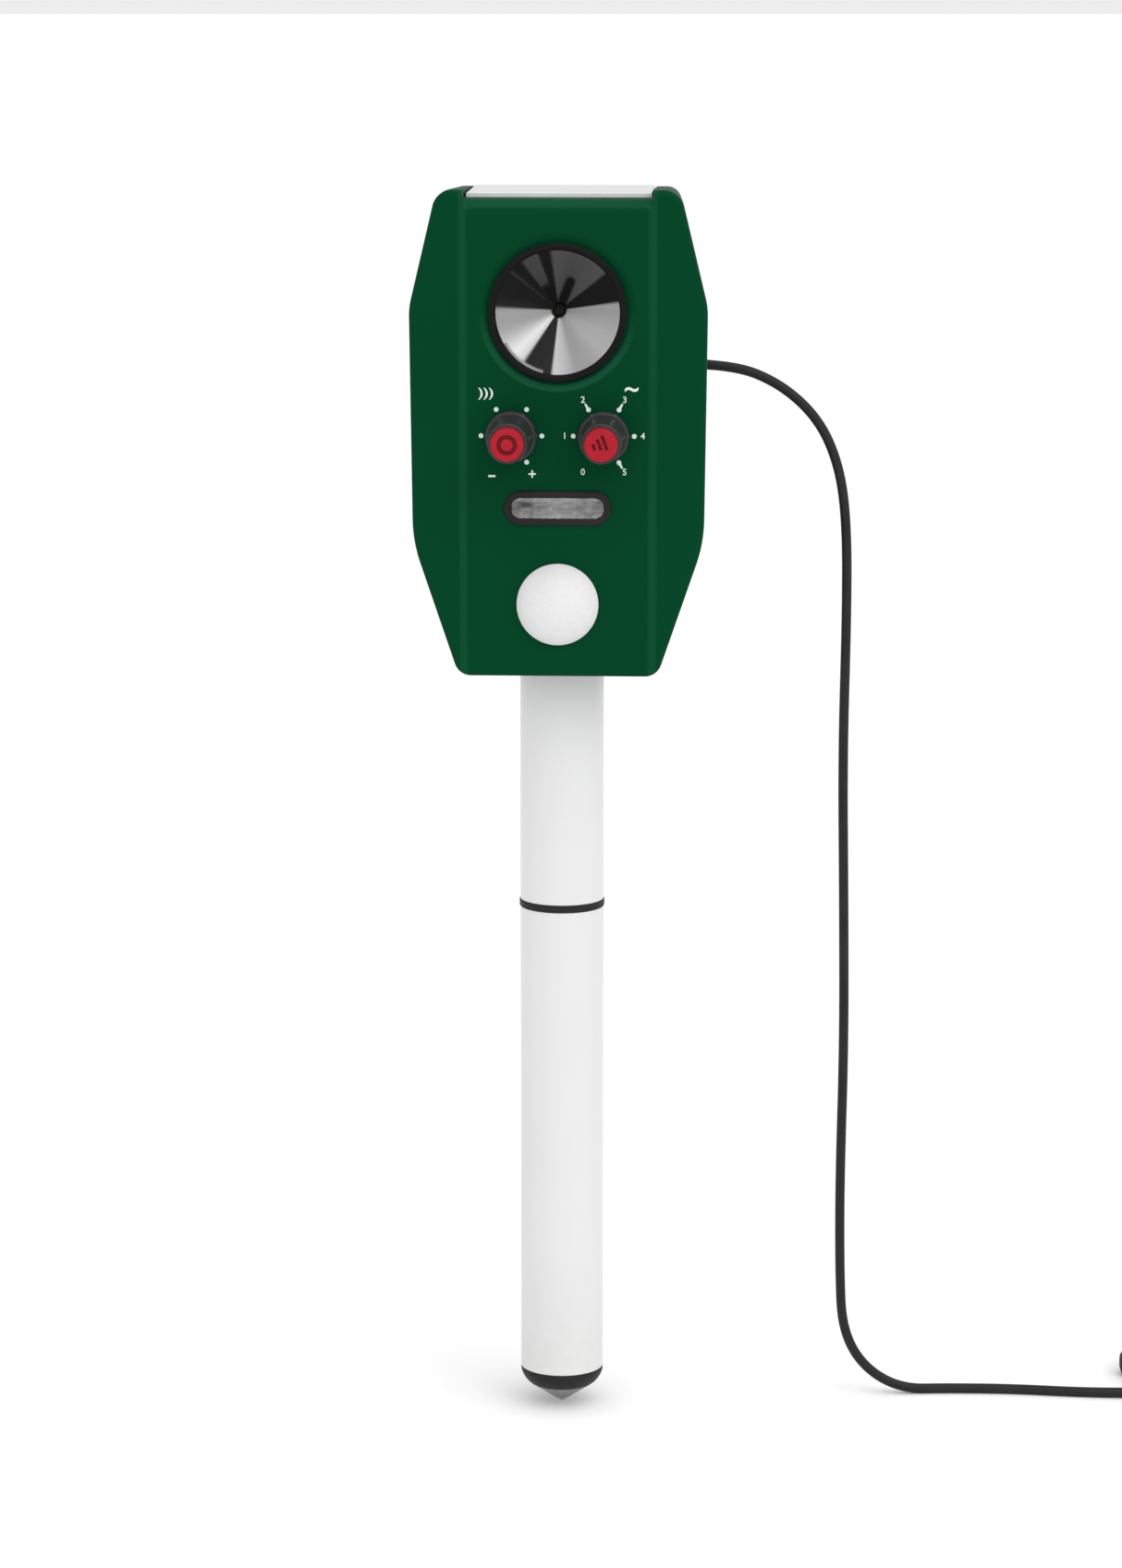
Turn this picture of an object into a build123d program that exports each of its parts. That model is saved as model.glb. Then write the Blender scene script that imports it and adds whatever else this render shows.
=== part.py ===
from build123d import *

import math
import os

os.makedirs("parts", exist_ok=True)

# Millimetres, +Z up. The origin is the tip of the stake, on the stake's axis. The front of the
# head, with its speaker and dials, faces -Y, and +X is on the right of someone who looks at it.

# Stake
TUBE_RADIUS = 12.5
TUBE_WALL = 1.0
PLUG_FIT = 0.05  # radial gap of the plastic plugs in the tubes
POINT_RADIUS = 9.8
POINT_HEIGHT = 6.6
POINT_STEM_RADIUS = 3.0
POINT_STEM_LENGTH = 9.0
CAP_HEIGHT = 5.4
CAP_PLUG_LENGTH = 16.0
LOWER_TUBE_LENGTH = 144.4
COLLAR_HEIGHT = 2.4
COLLAR_PROUD = 0.3
COUPLER_PLUG_LENGTH = 24.0
COUPLER_WALL = 2.0
UPPER_TUBE_SHOWN = 72.2
SOCKET_DEPTH = 34.0
SOCKET_FIT = 0.1  # radial gap that lets the head turn on the tube
SOCKET_WALL = 2.8
TOP_PLUG_RIM = 1.5
TOP_PLUG_LENGTH = 14.0

# Housing
HEAD_HEIGHT = 141.0
HALF_WIDTH = 43.2
CENTRE_HALF_WIDTH = 27.4  # the flat between the two wings
WING_FALL = 2.8
REAR_DRAFT = 2.0
BOARD_STACK = 14.6  # from the socket's wall forwards to the front of the housing
REAR_DEPTH = 28.0
FRONT_COVER_DEPTH = 6.6
SEAM_GAP = 0.8
WALL = 2.2
FRONT_WALL = 2.5
CHEEK_RISE = 2.5
LIP_RADIUS = 4.0
TOP_CORNER_RADIUS = 6.0
BOTTOM_CORNER_RADIUS = 5.0
FRONT_EDGE_RADIUS = 1.6
REAR_EDGE_RADIUS = 2.5

# Solar panel
SOLAR_FRONT_RIM = 2.0
SOLAR_REAR_RIM = 4.0
SOLAR_SIDE_RIM = 0.4
SOLAR_THICKNESS = 2.5
SOLAR_TAPE = 0.6
SOLAR_RISE = 1.3  # from the lip up to the panel's face
SOLAR_FIT = 0.2

# Speaker
SPEAKER_BELOW_TOP = 35.0
BEZEL_RADIUS = 20.0
BEZEL_OPENING = 17.9
BEZEL_FIT = 0.2
BEZEL_DISH_RADIUS = 22.8
BEZEL_DISH_DEPTH = 0.9
CONE_DEPTH = 8.0
CONE_WALL = 0.6
DOME_RADIUS = 2.0

# Dials
DIAL_BELOW_SPEAKER = 35.5
DIAL_SPREAD = 13.35
SHAFT_RADIUS = 3.0
SHAFT_FIT = 0.06
BUSHING_RADIUS = 4.2
BUSHING_OUT = 1.8
NUT_ACROSS_FLATS = 10.0
DIAL_BODY_RADIUS = 8.0
KNOB_GAP = 0.5
KNOB_SKIRT_RADIUS = 7.4
KNOB_SKIRT_LENGTH = 4.2
KNOB_BODY_RADIUS = 6.4
KNOB_TIP_RADIUS = 5.8
KNOB_LENGTH = 21.5
KNOB_CAP_RADIUS = 4.9
KNOB_CAP_LENGTH = 3.0

# Lamp window
LAMP_BELOW_DIAL = 21.0
WINDOW_LENGTH = 31.2
WINDOW_HEIGHT = 10.0
WINDOW_RIM = 1.9
WINDOW_PROUD = 0.8
LAMP_RADIUS = 2.5
LAMP_SPACING = 8.0

# Motion sensor
SENSOR_BELOW_LAMP = 28.1
DOME_LENS_RADIUS = 11.9
DOME_LENS_RISE = 6.0
DOME_LENS_STAND = 1.0
DOME_LENS_WALL = 0.9
SENSOR_CAN_RADIUS = 4.1

# Circuit board
BOARD_BEHIND_FRONT = 11.0
BOARD_THICKNESS = 1.6
BOARD_HALF_WIDTH = 24.0
BOARD_SCREW_RADIUS = 1.1

# Housing screws
SCREW_RADIUS = 1.5
SCREW_HEAD_RADIUS = 2.8
SCREW_SEAT_BEHIND_SEAM = 12.0
BOSS_RADIUS = 3.5

# Battery bay and its door
CELL_RADIUS = 7.25
CELL_LENGTH = 50.5
CELL_GAP = 0.8
CELL_COUNT = 3
BAY_BELOW_TOP = 59.7
BAY_END_ROOM = 2.75
BAY_SIDE_ROOM = 0.75
TRAY_WALL = 1.2
DOOR_THICKNESS = 2.4
DOOR_GAP = 0.3
DOOR_OVERLAP = 4.0
DOOR_TAB = 9.0
SEAL_WIDTH = 1.8
HINGE_PIN_RADIUS = 1.0
HINGE_FIT = 0.06
KNUCKLE_RADIUS = 2.6
KNUCKLE_HALF_LENGTH = 20.0
EAR_LENGTH = 4.0
DOOR_SCREW_CLEARANCE = 1.2

# Cord
CORD_RADIUS = 1.5
CORD_Y = 10.0
CORD_BELOW_TOP = 53.2
POCKET_DEPTH = 7.2
COIL_X = 199.0
COIL_TURN_RADIUS = 18.0
COIL_COLUMNS = 4
COIL_LAYERS = 2
TAIL_REACH = 24.0  # from beside the coil's middle to the plug
TIE_THICKNESS = 0.8
TIE_WIDTH = 5.0
TIE_ROOM = 0.4
GRIP_LENGTH = 26.0
GRIP_WIDTH = 15.5
GRIP_HEIGHT = 8.0
SHELL_LENGTH = 14.0
SHELL_WIDTH = 12.0
SHELL_HEIGHT = 4.5

# Heights and depths that follow from them
CAP_TOP = POINT_HEIGHT + CAP_HEIGHT
LOWER_TUBE_TOP = CAP_TOP + LOWER_TUBE_LENGTH
UPPER_TUBE_BOTTOM = LOWER_TUBE_TOP + COLLAR_HEIGHT
HEAD_BOTTOM = UPPER_TUBE_BOTTOM + UPPER_TUBE_SHOWN
HEAD_TOP = HEAD_BOTTOM + HEAD_HEIGHT
UPPER_TUBE_TOP = HEAD_BOTTOM + SOCKET_DEPTH
TUBE_BORE = TUBE_RADIUS - TUBE_WALL
SOCKET_BORE = TUBE_RADIUS + SOCKET_FIT
SOCKET_RADIUS = SOCKET_BORE + SOCKET_WALL
SOCKET_END = UPPER_TUBE_TOP + TOP_PLUG_RIM + SOCKET_FIT

FRONT_Y = -(SOCKET_RADIUS + BOARD_STACK)
FRONT_SEAM_Y = FRONT_Y + FRONT_COVER_DEPTH
REAR_SEAM_Y = FRONT_SEAM_Y + SEAM_GAP
REAR_Y = REAR_DEPTH
INNER_FRONT_Y = FRONT_Y + FRONT_WALL
INNER_REAR_Y = REAR_Y - WALL
BOARD_FRONT_Y = FRONT_Y + BOARD_BEHIND_FRONT
BOARD_REAR_Y = BOARD_FRONT_Y + BOARD_THICKNESS
SCREW_SEAT_Y = REAR_SEAM_Y + SCREW_SEAT_BEHIND_SEAM
CELL_PITCH = 2 * CELL_RADIUS + CELL_GAP
CORD_Z = HEAD_TOP - CORD_BELOW_TOP
POCKET_FLOOR_X = HALF_WIDTH - POCKET_DEPTH

LIP_Z = HEAD_TOP - CHEEK_RISE
SOLAR_FLOOR_Z = LIP_Z + SOLAR_RISE - SOLAR_THICKNESS - SOLAR_TAPE
CAVITY_TOP_Z = SOLAR_FLOOR_Z - WALL
SPEAKER_Z = HEAD_TOP - SPEAKER_BELOW_TOP
DIAL_Z = SPEAKER_Z - DIAL_BELOW_SPEAKER
LAMP_Z = DIAL_Z - LAMP_BELOW_DIAL
SENSOR_Z = LAMP_Z - SENSOR_BELOW_LAMP
BAY_Z = HEAD_TOP - BAY_BELOW_TOP

BAY_HALF_LENGTH = CELL_LENGTH / 2 + BAY_END_ROOM
BAY_HALF_HEIGHT = CELL_PITCH + CELL_RADIUS + BAY_SIDE_ROOM
TRAY_FLOOR_Y = INNER_REAR_Y - 2 * CELL_RADIUS - 1.3
DOOR_INNER_Y = REAR_Y + DOOR_GAP
DOOR_OUTER_Y = DOOR_INNER_Y + DOOR_THICKNESS
HINGE_Y = REAR_Y + KNUCKLE_RADIUS + 0.7
HINGE_Z = BAY_Z + BAY_HALF_HEIGHT + DOOR_OVERLAP + KNUCKLE_RADIUS + 0.8
DOOR_SCREW_Z = BAY_Z - BAY_HALF_HEIGHT - DOOR_OVERLAP - DOOR_TAB / 2

HOUSING_SCREWS = [
    (HALF_WIDTH - 17.7, HEAD_BOTTOM + 12.0),
    (17.7 - HALF_WIDTH, HEAD_BOTTOM + 12.0),
    (HALF_WIDTH - 10.6, HEAD_TOP - 16.0),
    (10.6 - HALF_WIDTH, HEAD_TOP - 16.0),
]
BOARD_TOP_Z = SPEAKER_Z - BEZEL_DISH_RADIUS - 0.6
BOARD_BOTTOM_Z = SENSOR_Z - 6.4
BOARD_SCREWS = [
    (x, z)
    for x in (-BOARD_HALF_WIDTH + 3.5, BOARD_HALF_WIDTH - 3.5)
    for z in (BOARD_TOP_Z - 3.6, SENSOR_Z + 9.6)
]


def facing(y):
    """The upright plane at depth y that faces the front, with X across and Z up."""
    return Plane.XZ.offset(-y)


def facing_rear(y):
    """The upright plane at depth y that faces the rear, with Z up."""
    return Plane(origin=(0, y, 0), x_dir=(-1, 0, 0), z_dir=(0, 1, 0))


def turned(profile, x=0.0, z=0.0):
    """A piece turned about the line through (x, z) along Y, from points of depth and radius."""
    with BuildPart() as piece:
        with BuildSketch(Plane(origin=(x, 0, z), x_dir=(0, 1, 0), z_dir=(1, 0, 0))):
            with BuildLine():
                Polyline(*profile, close=True)
            make_face()
        revolve(axis=Axis((x, 0, z), (0, 1, 0)))
    return piece


def upright(profile):
    """A piece turned about the stake's axis, from points of radius and height."""
    with BuildPart() as piece:
        with BuildSketch(Plane.XZ):
            with BuildLine():
                Polyline(*profile, close=True)
            make_face()
        revolve(axis=Axis.Z)
    return piece


# ---- Stake ----

# Zinc point: a blunt cone with a stem that is pressed into the cap.
point_stem_top = POINT_HEIGHT + POINT_STEM_LENGTH
spike_point = upright(
    [
        (0, 0),
        (POINT_RADIUS, POINT_HEIGHT),
        (POINT_STEM_RADIUS, POINT_HEIGHT),
        (POINT_STEM_RADIUS, point_stem_top),
        (0, point_stem_top),
    ]
)
spike_point.part.label = "spike_point"
export_step(spike_point.part, "parts/spike_point.step")

# Black cap: a rounded shoulder as wide as the tube, and a hollow plug up inside it.
with BuildPart() as spike_cap:
    with BuildSketch(Plane.XZ):
        with BuildLine():
            Line((POINT_STEM_RADIUS, POINT_HEIGHT), (POINT_RADIUS, POINT_HEIGHT))
            shoulder = (TUBE_RADIUS, POINT_HEIGHT + 0.75 * CAP_HEIGHT)
            slope = (TUBE_RADIUS - POINT_RADIUS, 0.75 * CAP_HEIGHT)
            TangentArc((POINT_RADIUS, POINT_HEIGHT), shoulder, tangent=(slope[0], 0.5 * slope[1]))
            Polyline(
                shoulder,
                (TUBE_RADIUS, CAP_TOP),
                (TUBE_BORE - PLUG_FIT, CAP_TOP),
                (TUBE_BORE - PLUG_FIT, CAP_TOP + CAP_PLUG_LENGTH),
                (TUBE_BORE - COUPLER_WALL, CAP_TOP + CAP_PLUG_LENGTH),
                (TUBE_BORE - COUPLER_WALL, point_stem_top),
                (POINT_STEM_RADIUS, point_stem_top),
                (POINT_STEM_RADIUS, POINT_HEIGHT),
            )
        make_face()
    revolve(axis=Axis.Z)
spike_cap.part.label = "spike_cap"
export_step(spike_cap.part, "parts/spike_cap.step")

lower_tube = upright(
    [
        (TUBE_BORE, CAP_TOP),
        (TUBE_RADIUS, CAP_TOP),
        (TUBE_RADIUS, LOWER_TUBE_TOP),
        (TUBE_BORE, LOWER_TUBE_TOP),
    ]
)
lower_tube.part.label = "lower_tube"
export_step(lower_tube.part, "parts/lower_tube.step")

upper_tube = upright(
    [
        (TUBE_BORE, UPPER_TUBE_BOTTOM),
        (TUBE_RADIUS, UPPER_TUBE_BOTTOM),
        (TUBE_RADIUS, UPPER_TUBE_TOP),
        (TUBE_BORE, UPPER_TUBE_TOP),
    ]
)
upper_tube.part.label = "upper_tube"
export_step(upper_tube.part, "parts/upper_tube.step")

# Black coupler: a collar between the two tubes and a plug into each.
collar_radius = TUBE_RADIUS + COLLAR_PROUD
coupler_bore = TUBE_BORE - COUPLER_WALL
plug_radius = TUBE_BORE - PLUG_FIT
tube_coupler = upright(
    [
        (coupler_bore, LOWER_TUBE_TOP - COUPLER_PLUG_LENGTH),
        (plug_radius - 0.6, LOWER_TUBE_TOP - COUPLER_PLUG_LENGTH),
        (plug_radius, LOWER_TUBE_TOP - COUPLER_PLUG_LENGTH + 1.2),
        (plug_radius, LOWER_TUBE_TOP),
        (collar_radius - 0.4, LOWER_TUBE_TOP),
        (collar_radius, LOWER_TUBE_TOP + 0.4),
        (collar_radius, UPPER_TUBE_BOTTOM - 0.4),
        (collar_radius - 0.4, UPPER_TUBE_BOTTOM),
        (plug_radius, UPPER_TUBE_BOTTOM),
        (plug_radius, UPPER_TUBE_BOTTOM + COUPLER_PLUG_LENGTH - 1.2),
        (plug_radius - 0.6, UPPER_TUBE_BOTTOM + COUPLER_PLUG_LENGTH),
        (coupler_bore, UPPER_TUBE_BOTTOM + COUPLER_PLUG_LENGTH),
    ]
)
tube_coupler.part.label = "tube_coupler"
export_step(tube_coupler.part, "parts/tube_coupler.step")

# Plug in the top of the upper tube: the end of the head's socket turns on its flat rim.
tube_plug = upright(
    [
        (0, UPPER_TUBE_TOP),
        (plug_radius - COUPLER_WALL, UPPER_TUBE_TOP),
        (plug_radius - COUPLER_WALL, UPPER_TUBE_TOP - TOP_PLUG_LENGTH),
        (plug_radius, UPPER_TUBE_TOP - TOP_PLUG_LENGTH),
        (plug_radius, UPPER_TUBE_TOP),
        (TUBE_RADIUS - 0.2, UPPER_TUBE_TOP),
        (TUBE_RADIUS - 0.2, UPPER_TUBE_TOP + TOP_PLUG_RIM - 0.3),
        (TUBE_RADIUS - 0.5, UPPER_TUBE_TOP + TOP_PLUG_RIM),
        (0, UPPER_TUBE_TOP + TOP_PLUG_RIM),
    ]
)
tube_plug.part.label = "tube_plug"
export_step(tube_plug.part, "parts/tube_plug.step")


# ---- Housing ----


def head_outline(plane, inset=0.0, top=HEAD_TOP):
    """Front view of the housing, drawn in on all sides by inset and cut off above top."""
    right = [
        (HALF_WIDTH - 14.2, HEAD_BOTTOM),
        (HALF_WIDTH - 0.8, HEAD_BOTTOM + 39.0),
        (HALF_WIDTH, HEAD_TOP - 34.0),
        (HALF_WIDTH - 8.2, HEAD_TOP),
    ]
    left = [(-x, z) for x, z in reversed(right)]
    with BuildSketch(plane) as outline:
        with BuildLine():
            Polyline(*right, *left, close=True)
        make_face()
        fillet(outline.vertices().group_by(Axis.Y)[3], radius=TOP_CORNER_RADIUS)
        fillet(outline.vertices().group_by(Axis.Y)[2], radius=20.0)
        fillet(outline.vertices().group_by(Axis.Y)[1], radius=40.0)
        fillet(outline.vertices().group_by(Axis.Y)[0], radius=BOTTOM_CORNER_RADIUS)
        if inset:
            offset(amount=-inset, kind=Kind.INTERSECTION)
        if top < HEAD_TOP:
            with Locations((0, top)):
                Rectangle(
                    3 * HALF_WIDTH,
                    HEAD_HEIGHT,
                    align=(Align.CENTER, Align.MIN),
                    mode=Mode.SUBTRACT,
                )
    return outline.sketch


def front_plan(inset=0.0):
    """Plan of the front: a flat centre between two wings that fall back."""
    wing_x = HALF_WIDTH + 0.8
    right = [
        (CENTRE_HALF_WIDTH, FRONT_Y),
        (wing_x, FRONT_Y + WING_FALL),
        (wing_x, REAR_Y),
    ]
    left = [(-x, y) for x, y in reversed(right)]
    with BuildSketch(Plane.XY.offset(HEAD_BOTTOM - 1)) as plan:
        with BuildLine():
            Polyline(*right, *left, close=True)
        make_face()
        fillet(plan.vertices().group_by(Axis.Y)[0], radius=5.0)
        if inset:
            offset(amount=-inset, kind=Kind.INTERSECTION)
    return plan.sketch


def front_block(front, rear, inset=0.0, top=HEAD_TOP):
    """The front cover's form between two depths, drawn in by inset for its hollow."""
    with BuildPart() as block:
        extrude(head_outline(facing(rear), inset, top), amount=rear - front)
        extrude(front_plan(inset), amount=HEAD_HEIGHT + 2, mode=Mode.INTERSECT)
    return block.part


def rear_block(front, rear, inset=0.0, top=HEAD_TOP):
    """The rear cover's form, which closes in towards the rear by its mould's draft."""
    with BuildPart() as block:
        extrude(head_outline(facing_rear(front), inset, top), amount=rear - front, taper=REAR_DRAFT)
    return block.part


def centre_relief():
    """What is cut away between the cheeks: all above the lip, and round the lip's front edge."""
    arc_z = LIP_Z - LIP_RADIUS
    with BuildPart() as relief:
        with BuildSketch(Plane.YZ):
            with BuildLine():
                CenterArc((FRONT_Y + LIP_RADIUS, arc_z), LIP_RADIUS, 90, 90)
                Polyline(
                    (FRONT_Y, arc_z),
                    (FRONT_Y - 2, arc_z),
                    (FRONT_Y - 2, HEAD_TOP + 2),
                    (REAR_Y + 2, HEAD_TOP + 2),
                    (REAR_Y + 2, LIP_Z),
                    (FRONT_Y + LIP_RADIUS, LIP_Z),
                )
            make_face()
        extrude(amount=CENTRE_HALF_WIDTH, both=True)
    return relief.part


# Front cover: a shallow tray with all the openings for what the user sees and turns.
with BuildPart() as front_cover:
    add(front_block(FRONT_Y, FRONT_SEAM_Y))
    front_rim = front_cover.edges().filter_by(
        lambda edge: edge.center().Y < FRONT_Y + WING_FALL and edge.length < HEAD_HEIGHT * 0.6
    )
    side_rim = front_cover.edges().filter_by(
        lambda edge: edge.center().Y < FRONT_Y + WING_FALL
        and edge.length >= HEAD_HEIGHT * 0.6
        and abs(edge.center().X) > CENTRE_HALF_WIDTH + 5
    )
    fillet(front_rim + side_rim, radius=FRONT_EDGE_RADIUS)
    add(
        front_block(INNER_FRONT_Y, FRONT_SEAM_Y + 1, WALL, CAVITY_TOP_Z),
        mode=Mode.SUBTRACT,
    )
    add(centre_relief(), mode=Mode.SUBTRACT)
    with BuildSketch(facing(FRONT_SEAM_Y)):
        with Locations(*HOUSING_SCREWS):
            Circle(BOSS_RADIUS)
    extrude(amount=FRONT_SEAM_Y - INNER_FRONT_Y + 0.4)
    with BuildSketch(facing(BOARD_FRONT_Y)):
        with Locations(*BOARD_SCREWS):
            Circle(BOARD_SCREW_RADIUS + 1.3)
    extrude(amount=BOARD_FRONT_Y - INNER_FRONT_Y + 0.4)
    with BuildSketch(facing(FRONT_SEAM_Y)):
        with Locations(*HOUSING_SCREWS):
            Circle(SCREW_RADIUS)
    extrude(amount=FRONT_SEAM_Y - INNER_FRONT_Y - 0.6, mode=Mode.SUBTRACT)
    with BuildSketch(facing(BOARD_FRONT_Y)):
        with Locations(*BOARD_SCREWS):
            Circle(BOARD_SCREW_RADIUS)
    extrude(amount=BOARD_FRONT_Y - INNER_FRONT_Y - 0.8, mode=Mode.SUBTRACT)
    with BuildSketch(facing(FRONT_Y + BEZEL_DISH_DEPTH)):
        with Locations((0, SPEAKER_Z)):
            Circle(BEZEL_RADIUS + BEZEL_FIT)
    with BuildSketch(facing(FRONT_Y)):
        with Locations((0, SPEAKER_Z)):
            Circle(BEZEL_DISH_RADIUS)
    loft(mode=Mode.SUBTRACT)
    with BuildSketch(facing(INNER_FRONT_Y + 1)):
        with Locations((0, SPEAKER_Z)):
            Circle(BEZEL_RADIUS - 0.8)
        with Locations((-DIAL_SPREAD, DIAL_Z), (DIAL_SPREAD, DIAL_Z)):
            Circle(BUSHING_RADIUS + 0.1)
        with Locations((0, LAMP_Z)):
            SlotOverall(WINDOW_LENGTH - 1.8, WINDOW_HEIGHT - 1.8)
        with Locations((0, SENSOR_Z)):
            Circle(DOME_LENS_RADIUS + 0.1)
    extrude(amount=FRONT_WALL + 2, mode=Mode.SUBTRACT)
front_cover.part.label = "front_cover"
export_step(front_cover.part, "parts/front_cover.step")

# Rear cover: a deep shell with the stake's socket, the battery opening, the hinge ears of its
# door, the bosses of the housing screws and the pocket that the cord leaves through.
ear_x = KNUCKLE_HALF_LENGTH + 0.4
pocket_half_width = 4.5
pocket_half_height = 5.5
pocket_wall = 1.6
grommet_neck = 2.2
with BuildPart() as rear_cover:
    add(rear_block(REAR_SEAM_Y, REAR_Y))
    fillet(rear_cover.faces().sort_by(Axis.Y)[-1].edges(), radius=REAR_EDGE_RADIUS)
    add(
        rear_block(REAR_SEAM_Y, INNER_REAR_Y, WALL, CAVITY_TOP_Z),
        mode=Mode.SUBTRACT,
    )
    add(centre_relief(), mode=Mode.SUBTRACT)
    # Solar recess
    with BuildSketch(Plane.XY.offset(SOLAR_FLOOR_Z)):
        solar_front = REAR_SEAM_Y + SOLAR_FRONT_RIM
        solar_rear = REAR_Y - SOLAR_REAR_RIM
        with Locations((0, (solar_front + solar_rear) / 2)):
            Rectangle(2 * (CENTRE_HALF_WIDTH - SOLAR_SIDE_RIM), solar_rear - solar_front)
    extrude(amount=HEAD_TOP - SOLAR_FLOOR_Z, mode=Mode.SUBTRACT)
    # Socket for the stake
    with BuildSketch(Plane.XY.offset(HEAD_BOTTOM)):
        Circle(SOCKET_RADIUS)
    extrude(amount=SOCKET_END - HEAD_BOTTOM + WALL)
    with BuildSketch(Plane.XY.offset(HEAD_BOTTOM)):
        Circle(SOCKET_BORE)
    extrude(amount=SOCKET_END - HEAD_BOTTOM, mode=Mode.SUBTRACT)
    # Bosses of the housing screws, open to the rear down to the screw heads
    with BuildSketch(facing(INNER_REAR_Y + 0.4)):
        with Locations(*HOUSING_SCREWS):
            Circle(SCREW_HEAD_RADIUS + 1.6)
    extrude(amount=INNER_REAR_Y + 0.4 - REAR_SEAM_Y)
    with BuildSketch(facing(REAR_Y + 1)):
        with Locations(*HOUSING_SCREWS):
            Circle(SCREW_HEAD_RADIUS + 0.3)
    extrude(amount=REAR_Y + 1 - SCREW_SEAT_Y, mode=Mode.SUBTRACT)
    with BuildSketch(facing(REAR_Y)):
        with Locations(*HOUSING_SCREWS):
            Circle(SCREW_RADIUS + 0.2)
    extrude(amount=REAR_Y - REAR_SEAM_Y + 1, mode=Mode.SUBTRACT)
    # Battery opening, and the boss that the door's screw enters
    with BuildSketch(facing(REAR_Y + 1)):
        with Locations((0, BAY_Z)):
            Rectangle(2 * BAY_HALF_LENGTH, 2 * BAY_HALF_HEIGHT)
    extrude(amount=WALL + 2, mode=Mode.SUBTRACT)
    with BuildSketch(facing(INNER_REAR_Y + 0.4)):
        with Locations((0, DOOR_SCREW_Z)):
            Circle(SCREW_RADIUS + DOOR_SCREW_CLEARANCE + 1.6)
    extrude(amount=6.0)
    with BuildSketch(facing(REAR_Y + 1)):
        with Locations((0, DOOR_SCREW_Z)):
            Circle(SCREW_RADIUS + DOOR_SCREW_CLEARANCE)
    extrude(amount=WALL + 7.4, mode=Mode.SUBTRACT)
    # Hinge ears
    for start in (-ear_x - EAR_LENGTH, ear_x):
        with BuildSketch(Plane.YZ.offset(start)):
            with Locations((HINGE_Y, HINGE_Z)):
                Circle(KNUCKLE_RADIUS)
            with Locations(((HINGE_Y + INNER_REAR_Y + 1) / 2, HINGE_Z)):
                Rectangle(HINGE_Y - INNER_REAR_Y - 1, 2 * KNUCKLE_RADIUS)
            with Locations((HINGE_Y, HINGE_Z)):
                Circle(HINGE_PIN_RADIUS, mode=Mode.SUBTRACT)
        extrude(amount=EAR_LENGTH)
    # Cord pocket, let into the right side behind its widest part
    with Locations((POCKET_FLOOR_X - 1.8, CORD_Y, CORD_Z)):
        Box(
            HALF_WIDTH - 2.5 - POCKET_FLOOR_X + 1.8,
            2 * (pocket_half_width + pocket_wall),
            2 * (pocket_half_height + pocket_wall),
            align=(Align.MIN, Align.CENTER, Align.CENTER),
        )
    with Locations((POCKET_FLOOR_X, CORD_Y, CORD_Z)):
        Box(
            20,
            2 * pocket_half_width,
            2 * pocket_half_height,
            align=(Align.MIN, Align.CENTER, Align.CENTER),
            mode=Mode.SUBTRACT,
        )
    with BuildSketch(Plane.YZ.offset(POCKET_FLOOR_X - 4)):
        with Locations((CORD_Y, CORD_Z)):
            Circle(grommet_neck)
    extrude(amount=8, mode=Mode.SUBTRACT)
rear_cover.part.label = "rear_cover"
export_step(rear_cover.part, "parts/rear_cover.step")

# Grey rubber seal in the seam, set back from the outside so that the seam reads as a groove.
with BuildPart() as housing_seal:
    extrude(head_outline(facing(REAR_SEAM_Y), 0.8, LIP_Z - 0.8), amount=SEAM_GAP)
    extrude(
        head_outline(facing(REAR_SEAM_Y), WALL, CAVITY_TOP_Z),
        amount=SEAM_GAP,
        mode=Mode.SUBTRACT,
    )
housing_seal.part.label = "housing_seal"
export_step(housing_seal.part, "parts/housing_seal.step")

# Four screws that draw the covers together. Their heads lie deep in the rear cover's bosses.
with BuildPart() as housing_screws:
    with BuildSketch(facing(SCREW_SEAT_Y)):
        with Locations(*HOUSING_SCREWS):
            Circle(SCREW_RADIUS)
    extrude(amount=SCREW_SEAT_Y - INNER_FRONT_Y - 0.8)
    with BuildSketch(facing(SCREW_SEAT_Y + 2.2)):
        with Locations(*HOUSING_SCREWS):
            Circle(SCREW_HEAD_RADIUS)
    extrude(amount=2.2)
    with BuildSketch(facing(SCREW_SEAT_Y + 2.2)):
        with Locations(*HOUSING_SCREWS):
            Rectangle(3.2, 0.8)
            Rectangle(0.8, 3.2)
    extrude(amount=1.2, mode=Mode.SUBTRACT)
housing_screws.part.label = "housing_screws"
export_step(housing_screws.part, "parts/housing_screws.step")

# ---- Solar panel ----

solar_half_width = CENTRE_HALF_WIDTH - SOLAR_SIDE_RIM - SOLAR_FIT
with BuildPart() as solar_tape:
    with BuildSketch(Plane.XY.offset(SOLAR_FLOOR_Z)):
        with Locations((0, (solar_front + solar_rear) / 2)):
            Rectangle(2 * solar_half_width - 3, solar_rear - solar_front - 3)
            Rectangle(2 * solar_half_width - 15, solar_rear - solar_front - 15, mode=Mode.SUBTRACT)
    extrude(amount=SOLAR_TAPE)
solar_tape.part.label = "solar_tape"
export_step(solar_tape.part, "parts/solar_tape.step")

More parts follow.
